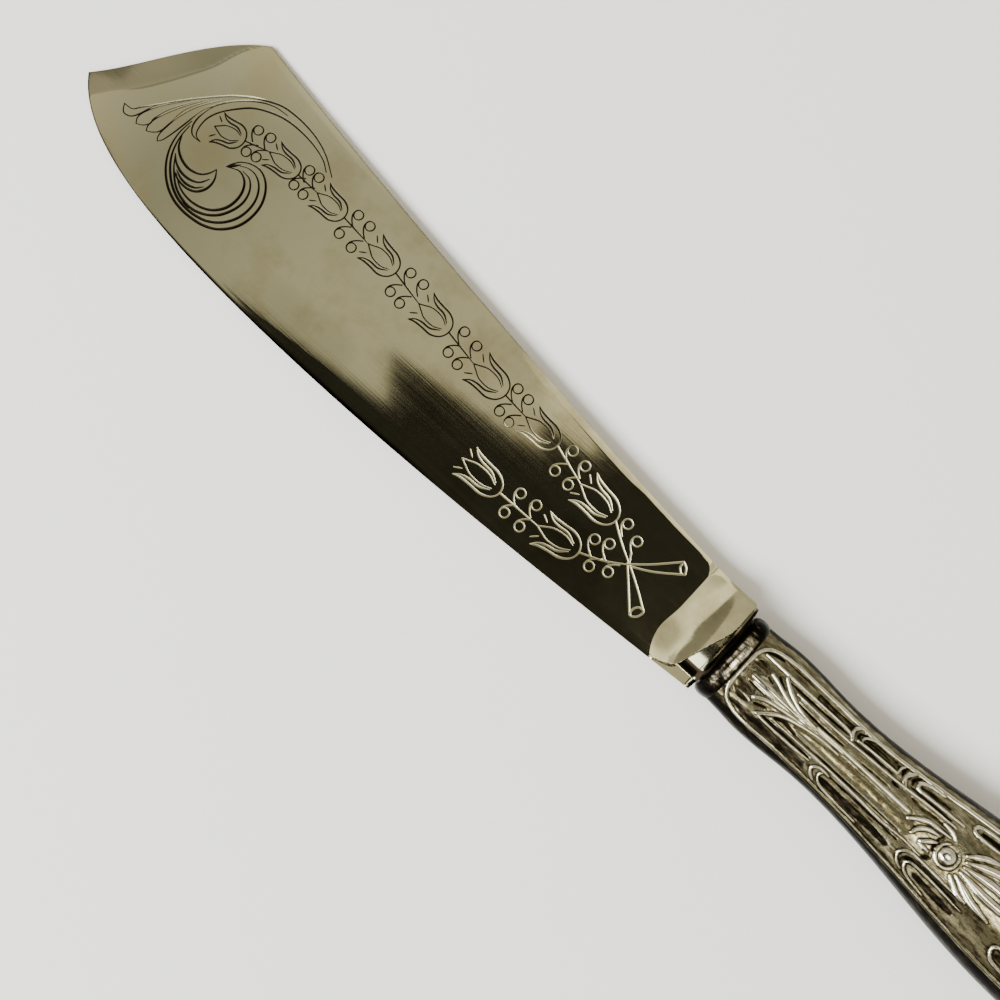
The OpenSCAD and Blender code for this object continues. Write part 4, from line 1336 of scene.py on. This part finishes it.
# The profile as [x, growth over the mouth's oval].
collar_profile = [(BEAD_FRONT, -COLLAR_HOLE)]
for a in np.linspace(0, np.pi, BEAD_ROWS):
    drop = BEAD_FALL if a < np.pi / 2 else BEAD_CREST + WALL / 2
    collar_profile.append((bead_middle + bead_half * math.cos(a), BEAD_CREST - drop * (1 - math.sin(a))))
collar_profile += [(MOUTH_X, -LIP_INSET), (LIP_END, -LIP_INSET), (LIP_END, -COLLAR_HOLE)]
collar_rings = [mouth_ring(x, grow) for x, grow in collar_profile]
ring_count, ring_points = len(collar_rings), len(collar_rings[0])
collar_faces = []
for i in range(ring_count):
    here, there = i * ring_points, (i + 1) % ring_count * ring_points
    for j in range(ring_points):
        k = (j + 1) % ring_points
        collar_faces.append((here + j, there + j, there + k, here + k))
collar_points = np.vstack(collar_rings)
print("collar of", ring_count, "rings")

# %% Tarnish and painted light of the collar
# The bead's crest is painted bright, partly rubbed silver and partly a painted highlight. Its groove towards
# the handle and its front are black, and its sides are painted black as shade.
BLACK_TONE, RUBBED_AND_LIT_TONE = 0.1, 0.75
rubbed_and_lit = rise(collar_points[:, 0], -4.2, -3.6) * rise(-collar_points[:, 0], 1.0, 1.7)
collar_tone = BLACK_TONE + RUBBED_AND_LIT_TONE * rubbed_and_lit * rise(-np.abs(collar_points[:, 1]), -9.5, -2)
collar = make_piece("collar_bead", collar_points, collar_faces, attributes={"tone": collar_tone})
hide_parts("handle_collar")
print("mean tone of the collar:", collar_tone.mean().round(2))

# %% [markdown]
# ## Finishes
# The blade is silver plate, polished and then used for years: a warm grey mirror with hairlines along its
# length, faint stains and darker cuts. The handle has the same plate, but sulphur has turned its recesses
# brown and black, while hands kept the high places bright. All of them are made of noise and of the
# numbers that the meshes carry, because a picture would have to be unwrapped and would blur close by.

# %% Colours and the finish helper


def colour(hex_value):
    """sRGB hex to the linear colour that shaders take."""
    parts = [int(hex_value[i:i + 2], 16) / 255 for i in (1, 3, 5)]
    return [c / 12.92 if c <= 0.04045 else ((c + 0.055) / 1.055)**2.4 for c in parts] + [1.0]


def new_finish(name):
    material = bpy.data.materials.new(name)
    material.use_nodes = True
    tree = material.node_tree
    tree.nodes.clear()
    place = add_node(tree, "ShaderNodeTexCoord").outputs["Object"]
    shader = add_node(tree, "ShaderNodeBsdfPrincipled")
    add_node(tree, "ShaderNodeOutputMaterial", [("Surface", shader.outputs["BSDF"])])
    return material, tree, place, shader


def mm_scale(size):
    """Scale of a noise whose patches are about this many millimetres across."""
    return 1 / (size * MM)


def set_stops(stops, rows):
    """Sets a new ramp's two stops to the first and last rows of [position, colour], and adds the rest."""
    for stop, (position, shade) in zip(stops, (rows[0], rows[-1])):
        stop.position, stop.color = position, shade
    for position, shade in rows[1:-1]:
        stops.new(position).color = shade


print("silver plate in linear light:", [round(c, 2) for c in colour("#c3c09d")[:3]])

# %% [markdown]
# ## Blade finish
# Silver plate on a blade is a mirror first: nearly all that the eye sees in it is the room. A plain metal
# of one colour would look like new steel, so age is laid over it: a drift of colour from the swell to the
# darker tip, cloudy stains, hairlines from wiping, and the dirt and painted shade that the mesh carries in
# its corners.

# %% Worn silver plate of the blade
# It gives the eye a warm, slightly streaked mirror with dark drawn lines.
# The plate is lightest at the swell and darker and duller in colour towards the tip.
PLATE_FROM, PLATE_TO = 15, 178
PLATE_SHADES = ((0.0, "#d9d5ae"), (0.45, "#c3c09d"), (0.65, "#bcba99"), (0.85, "#9c9d83"), (1.0, "#95927a"))
# The grime colour also paints the shade.
STAIN_SHADE, GRIME_AND_SHADE_COLOUR = "#9c936e", "#16120b"
STAIN_SIZE = 14
# Hairlines run along the blade: 60 mm long and 0.3 mm across, coarser than life so that they show.
HAIR_ACROSS, HAIR_STRETCH = 0.3, 200


def plate_colour(tree, place):
    """The socket of the plate's colour: aged along the blade, stained, and darkened by old polish and painted
    shade.
    """
    stains = add_node(tree, "ShaderNodeTexNoise", [("Vector", place), ("Scale", mm_scale(STAIN_SIZE)),
                                                   ("Detail", 5), ("Roughness", 0.62)])
    stain_share = add_node(tree, "ShaderNodeMapRange", [("Value", stains.outputs["Fac"]), ("From Min", 0.45),
                                                        ("From Max", 0.75), ("To Max", 0.8)])
    parts = add_node(tree, "ShaderNodeSeparateXYZ", [("Vector", place)])
    to_tip = add_node(tree, "ShaderNodeMapRange", [("Value", parts.outputs["X"]),
                                                   ("From Min", to_model((PLATE_FROM, 0, 0))[0]),
                                                   ("From Max", to_model((PLATE_TO, 0, 0))[0])])
    colour_to_tip = add_node(tree, "ShaderNodeValToRGB", [("Fac", to_tip.outputs["Result"])])
    set_stops(colour_to_tip.color_ramp.elements, [(share, colour(shade)) for share, shade in PLATE_SHADES])
    plate = add_node(tree, "ShaderNodeMix", [(0, stain_share.outputs["Result"]), (6, colour_to_tip.outputs["Color"]),
                                             (7, colour(STAIN_SHADE))], data_type="RGBA")
    # Old polish and painted shade darken the cuts, so that they read dark on bright metal, and painted shade
    # darkens the rims, the bolster and the bent end; the lighter cuts catch the light.
    darkening = add_node(tree, "ShaderNodeAttribute", attribute_name="grime_and_shade").outputs["Fac"]
    dark_share = add_node(tree, "ShaderNodeMapRange", [("Value", darkening), ("From Min", 0.1), ("From Max", 0.75)])
    tint = add_node(tree, "ShaderNodeMix", [(0, dark_share.outputs["Result"]), (6, plate.outputs[2]),
                                            (7, colour(GRIME_AND_SHADE_COLOUR))], data_type="RGBA")
    return tint.outputs[2]


def blade_finish():
    material, tree, place, shader = new_finish("worn_silver_plate_with_painted_shade")
    tint = plate_colour(tree, place)
    stretch = add_node(tree, "ShaderNodeMapping", [("Vector", place), ("Scale", (1 / HAIR_STRETCH, 1, 0))])
    hairs = add_node(tree, "ShaderNodeTexNoise", [("Vector", stretch.outputs["Vector"]),
                                                  ("Scale", mm_scale(HAIR_ACROSS)), ("Detail", 2)])
    worn = add_node(tree, "ShaderNodeMapRange", [("Value", hairs.outputs["Fac"]), ("From Min", 0.3),
                                                 ("From Max", 0.8), ("To Min", 0.04), ("To Max", 0.11)])
    dulled = add_node(tree, "ShaderNodeAttribute", attribute_name="dull").outputs["Fac"]
    rough = add_node(tree, "ShaderNodeMix", [(0, dulled), (2, worn.outputs["Result"]), (3, 0.4)])
    bump = add_node(tree, "ShaderNodeBump", [("Strength", 0.05), ("Distance", 0.04 * MM),
                                             ("Height", hairs.outputs["Fac"])])
    tree.links.new(tint, shader.inputs["Base Color"])
    tree.links.new(rough.outputs[0], shader.inputs["Roughness"])
    tree.links.new(bump.outputs["Normal"], shader.inputs["Normal"])
    shader.inputs["Metallic"].default_value = 1
    return material


worn_plate = blade_finish()
blade.data.materials.append(worn_plate)
print(worn_plate.name, "has", len(worn_plate.node_tree.nodes), "nodes")

# %% [markdown]
# ## Handle finish
# Silver that is seldom polished turns yellow, brown and black, first in the hollows, while hands keep the
# high places bright. The relief has already said how high each point is, and shade is painted on top, so one
# number, the tone, picks the shade from a row of tarnish colours, and a noise makes it uneven. The collar has
# a blacker row of its own, with a painted highlight.

# %% Tarnished silver plate of the handle
# It gives the eye a soft sheen on the high strokes and dead black in the grooves.
TARNISH_SIZE, TARNISH_STRETCH, PIT_SIZE = 0.9, 3, 0.5
HANDLE_SHADES = ((0.0, "#090805"), (0.16, "#282217"), (0.34, "#69644b"), (0.5, "#9b9880"), (0.75, "#c6c3af"),
                 (1.0, "#e6e4d9"))
# The collar's brightest shade also paints its highlight.
COLLAR_SHADES = ((0.0, "#060504"), (0.45, "#1b1711"), (0.7, "#6a6350"), (1.0, "#cfcab8"))


def tarnish_and_shade_finish(name, shades, uneven_by):
    """Silver whose colour follows the piece's tone, which holds its tarnish and painted light: 0 in the
    hollows, 1 on the high places.
    """
    material, tree, place, shader = new_finish(name)
    tone_socket = add_node(tree, "ShaderNodeAttribute", attribute_name="tone").outputs["Fac"]
    # Rubbing draws the tarnish out along the handle, so its patches are three times as long as wide.
    drawn_out = add_node(tree, "ShaderNodeMapping", [("Vector", place),
                                                     ("Scale", (1 / TARNISH_STRETCH, 1, 1))])
    patches = add_node(tree, "ShaderNodeTexNoise", [("Vector", drawn_out.outputs["Vector"]),
                                                    ("Scale", mm_scale(TARNISH_SIZE)), ("Detail", 6),
                                                    ("Roughness", 0.68)])
    uneven = add_node(tree, "ShaderNodeMapRange", [("Value", patches.outputs["Fac"]), ("From Min", 0.3),
                                                   ("From Max", 0.7), ("To Min", -uneven_by),
                                                   ("To Max", uneven_by)])
    level = add_node(tree, "ShaderNodeMath", [(0, tone_socket), (1, uneven.outputs["Result"])],
                     operation="ADD", use_clamp=True)
    ramp = add_node(tree, "ShaderNodeValToRGB", [("Fac", level.outputs["Value"])])
    set_stops(ramp.color_ramp.elements, [(share, colour(shade)) for share, shade in shades])
    matt = add_node(tree, "ShaderNodeMapRange", [("Value", level.outputs["Value"]), ("From Max", 0.45),
                                                 ("To Min", 0.5), ("To Max", 0.16)])
    pits = add_node(tree, "ShaderNodeTexNoise", [("Vector", place), ("Scale", mm_scale(PIT_SIZE)),
                                                 ("Detail", 3)])
    bump = add_node(tree, "ShaderNodeBump", [("Strength", 0.25), ("Distance", 0.06 * MM),
                                             ("Height", pits.outputs["Fac"])])
    tree.links.new(ramp.outputs["Color"], shader.inputs["Base Color"])
    tree.links.new(matt.outputs["Result"], shader.inputs["Roughness"])
    tree.links.new(bump.outputs["Normal"], shader.inputs["Normal"])
    shader.inputs["Metallic"].default_value = 1
    return material


plated = tarnish_and_shade_finish("tarnished_silver_plate_with_painted_shade", HANDLE_SHADES, 0.2)
front_shell.data.materials.append(plated)
back_shell.data.materials.append(plated)
blackened = tarnish_and_shade_finish("black_silver_tarnish_with_painted_light", COLLAR_SHADES, 0.5)
collar.data.materials.append(blackened)
print(plated.name, "and", blackened.name, "have", len(plated.node_tree.nodes), "nodes each")

# %% [markdown]
# ## Solder and cement
# The seam's solder and the resin inside stay as the solid model made them, because they are plain bands and
# fillings. They only get their own colours: grey tin with dark spots, and brown resin that never shines.

# %% Solder and cement


def mottled_finish(name, light, dark, patch, metallic, rough):
    """A finish whose colour drifts between two shades in patches of the given size in mm."""
    material, tree, place, shader = new_finish(name)
    patches = add_node(tree, "ShaderNodeTexNoise", [("Vector", place), ("Scale", mm_scale(patch)),
                                                    ("Detail", 5), ("Roughness", 0.6)])
    share = add_node(tree, "ShaderNodeMapRange", [("Value", patches.outputs["Fac"]), ("From Min", 0.35),
                                                  ("From Max", 0.7)])
    mix = add_node(tree, "ShaderNodeMix", [(0, share.outputs["Result"]), (6, colour(dark)),
                                           (7, colour(light))], data_type="RGBA")
    bump = add_node(tree, "ShaderNodeBump", [("Strength", 0.2), ("Distance", 0.05 * MM),
                                             ("Height", patches.outputs["Fac"])])
    tree.links.new(mix.outputs[2], shader.inputs["Base Color"])
    tree.links.new(bump.outputs["Normal"], shader.inputs["Normal"])
    shader.inputs["Metallic"].default_value = metallic
    shader.inputs["Roughness"].default_value = rough
    return material


# Cast tin gives the eye a grey, spotted band; resin gives it a dull brown mass.
solder = mottled_finish("dull_tin_solder", "#6d675a", "#1d1812", patch=1.5, metallic=1, rough=0.45)
cement = mottled_finish("resin_cement", "#5b452b", "#2e2114", patch=2.0, metallic=0, rough=0.8)
for node_name, finish in (("seam_solder", solder), ("cement_filling", cement)):
    node_mesh = frame["nodes"][node_name].data
    node_mesh.materials.clear()
    node_mesh.materials.append(finish)
print("finishes:", sorted(m.name for m in bpy.data.materials if m.users))

# %% [markdown]
# ## Floor
# The knife lies on a plain pale ground, matt so that nothing is mirrored in it. One large square is enough,
# because the soft light hides its ends. It is only a stage and does not belong to the part.

# %% Pale floor
FLOOR_HALF = 2.5
floor_mesh = bpy.data.meshes.new("floor")
floor_corners = [(x * FLOOR_HALF, y * FLOOR_HALF, 0) for x, y in ((-1, -1), (1, -1), (1, 1), (-1, 1))]
floor_mesh.from_pydata(floor_corners, [], [(0, 1, 2, 3)])
floor = bpy.data.objects.new("floor", floor_mesh)
bpy.context.scene.collection.objects.link(floor)
floor_finish, *_, floor_shader = new_finish("pale_floor")
floor_shader.inputs["Base Color"].default_value = colour("#e9e9e6")
floor_shader.inputs["Roughness"].default_value = 0.9
floor_shader.inputs["Specular IOR Level"].default_value = 0.1
floor_mesh.materials.append(floor_finish)
print("floor of", 2 * FLOOR_HALF, "by", 2 * FLOOR_HALF, "m")

# %% [markdown]
# ## Light
# A mirror is drawn by what stands round it. So the light is built as a photographer builds it for silver: a
# large soft panel low on the cutting edge's side, dim ones overhead where the plate has to shine, a narrow
# one along the handle for the glint on its threads, and pale walls below a dark ceiling for all the rest.

# %% Soft panels


def soft_panel(name, place, aim, along, size, radiance, tint):
    """A soft light at a place in the knife's frame, in mm, facing another; along is its long side."""
    data = bpy.data.lights.new(name, "AREA")
    data.shape = "RECTANGLE"
    data.size, data.size_y = size[0] * MM, size[1] * MM
    data.energy = radiance * math.pi * data.size * data.size_y
    data.color = colour(tint)[:3]
    panel = bpy.data.objects.new(name, data)
    back = (Vector(place) - Vector(aim)).normalized()
    side = (Vector(along) - back * back.dot(Vector(along))).normalized()
    turned = lean @ Matrix((side, back.cross(side), back)).transposed()
    panel.matrix_world = Matrix.Translation(Vector(to_model(place))) @ turned.to_4x4()
    bpy.context.scene.collection.objects.link(panel)


WINDOW_TINT, LAMP_TINT = "#fafcff", "#fff6e2"
ALONG_KNIFE = (1, 0, 0)
soft_panel("window_panel", (640, 965, 1150), (640, 0, 0), ALONG_KNIFE, (1730, 700), 19, WINDOW_TINT)
print("a window of", round(bpy.data.lights["window_panel"].energy, 1), "W")

# %% Panels under the ceiling
# Each one as its corner's x and y, its length and depth along the two directions, and its radiance.
PANEL_WAY, PANEL_DEEP, CEILING_H = Vector((0.945, 0.327, 0)), Vector((0.327, -0.945, 0)), 2500
CEILING_PANELS = {"ceiling_panel": (245, -364, 1332, 1500, 0.75),
                  "tip_panel": (1504, 71.6, 230, 300, 0.75),
                  "ceiling_corner": (575, -30, 911, 207.7, 0.75),
                  "ceiling_side": (756, 850, 1200, 450, 0.75),
                  "foot_panel": (964, 436, 725, 350, 0.75),
                  "corner_panel": (143, -539.9, 152, 880, 1.1),
                  "spine_panel": (-701.1, -1146.5, 1150, 570, 1.3)}
for name, (x, y, length, deep, radiance) in CEILING_PANELS.items():
    middle = Vector((x, y, CEILING_H)) + PANEL_WAY * length / 2 + PANEL_DEEP * deep / 2
    soft_panel(name, middle, middle - straight_up, PANEL_WAY, (length, deep), radiance, LAMP_TINT)
print(len(CEILING_PANELS), "panels under the ceiling")

# %% Panels above the handle
# A wide dim one for its sheen, and a narrow bright one for the glint on its threads.
soft_panel("handle_panel", (-1330, -150, 2500), (-1330, -150, 0), ALONG_KNIFE, (1800, 2300), 0.3, LAMP_TINT)
soft_panel("ridge_panel", (-775, -10, 2480), (-775, -10, 0), ALONG_KNIFE, (660, 520), 10.5, LAMP_TINT)

# %% [markdown]
# ## Walls and ceiling
# Between the panels the metal mirrors the room itself, so the room is a background whose strength depends
# on the direction: pale walls, a dark ceiling, and a few things that stand in shade. Real walls would need
# many rays to light them, and a background gives the same mirror image at once.

# %% Walls by height
# Strength by the height of the direction: bright low down, dark overhead.
WALL_LIGHT = ((0.4, 1.3), (0.55, 1.3), (0.72, 1.15), (0.8, 1.05), (0.85, 0.95), (0.89, 0.03))
world = bpy.data.worlds.new("studio_walls")
world.use_nodes = True
room = world.node_tree
room.nodes.clear()
direction = add_node(room, "ShaderNodeTexCoord").outputs["Generated"]
parts = add_node(room, "ShaderNodeSeparateXYZ", [("Vector", direction)])
wall = add_node(room, "ShaderNodeValToRGB", [("Fac", parts.outputs["Z"])])
set_stops(wall.color_ramp.elements, [(height, (light, light, light, 1)) for height, light in WALL_LIGHT])
print("walls of", len(wall.color_ramp.elements), "brightnesses")

# %% Shaded walls and a dark screen
# The wall behind the spine and the one past the tip are in shade. A dark screen stands beside the handle,
# towards the window: it blackens the handle's flank.
# Each border passes softly from one factor to another, as [axis, from, to, factor, factor].
WALL_BORDERS = (("Y", -0.8, 0.1, 0.6, 1), ("X", 0.3, 0.65, 1, 0.68), ("X", -0.12, -0.04, 0.9, 0),
                ("Y", 0.68, 0.8, 0, 1))
borders = []
for axis, low, high, at_low, at_high in WALL_BORDERS:
    border = add_node(room, "ShaderNodeMapRange",
                      [("Value", parts.outputs[axis]), ("From Min", low), ("From Max", high),
                       ("To Min", at_low), ("To Max", at_high)], interpolation_type="SMOOTHSTEP")
    borders.append(border.outputs["Result"])
spine_shade, tip_shade, beside_handle, towards_window = borders
screen = add_node(room, "ShaderNodeMath", [(0, beside_handle), (1, towards_window)], operation="MULTIPLY")
unscreened = add_node(room, "ShaderNodeMath", [(0, 1.0), (1, screen.outputs["Value"])], operation="SUBTRACT")
print(len(borders), "soft borders on the walls")

# %% A dark frame on the far wall
# The hollow swell mirrors it as a long oval.
WALL_FRAME_WAY, WALL_FRAME_HALF, WALL_FRAME_LIGHT = Vector((0.834, -0.139, 1)), (0.19, 0.26), 0.42
frame_way = lean @ WALL_FRAME_WAY
frame_scale = (1 / WALL_FRAME_HALF[0], 1 / WALL_FRAME_HALF[1], 0)
slant = add_node(room, "ShaderNodeVectorMath", [(0, direction), (1, parts.outputs["Z"])], operation="DIVIDE")
away = add_node(room, "ShaderNodeVectorMath", [(0, slant.outputs["Vector"]), (1, frame_way / frame_way.z)],
                operation="SUBTRACT")
scaled = add_node(room, "ShaderNodeVectorMath", [(0, away.outputs["Vector"]), (1, frame_scale)],
                  operation="MULTIPLY")
off_frame = add_node(room, "ShaderNodeVectorMath", [(0, scaled.outputs["Vector"])], operation="LENGTH")
unframed = add_node(room, "ShaderNodeMapRange", [("Value", off_frame.outputs["Value"]), ("From Min", 0.96),
                                                 ("From Max", 1.04), ("To Min", WALL_FRAME_LIGHT)])
print("the frame hangs towards", [round(c, 2) for c in frame_way.normalized()])

# %% The room
strength = wall.outputs["Color"]
for factor in (spine_shade, tip_shade, unscreened.outputs["Value"], unframed.outputs["Result"]):
    strength = add_node(room, "ShaderNodeMath", [(0, strength), (1, factor)],
                        operation="MULTIPLY").outputs["Value"]
walls = add_node(room, "ShaderNodeBackground", [("Color", colour(LAMP_TINT)), ("Strength", strength)])
add_node(room, "ShaderNodeOutputWorld", [("Surface", walls.outputs["Background"])])
bpy.context.scene.world = world
print("the room has", len(room.nodes), "nodes")

# %% [markdown]
# ## Sizes
# The relief and the cuts may stand a little off the solid model.
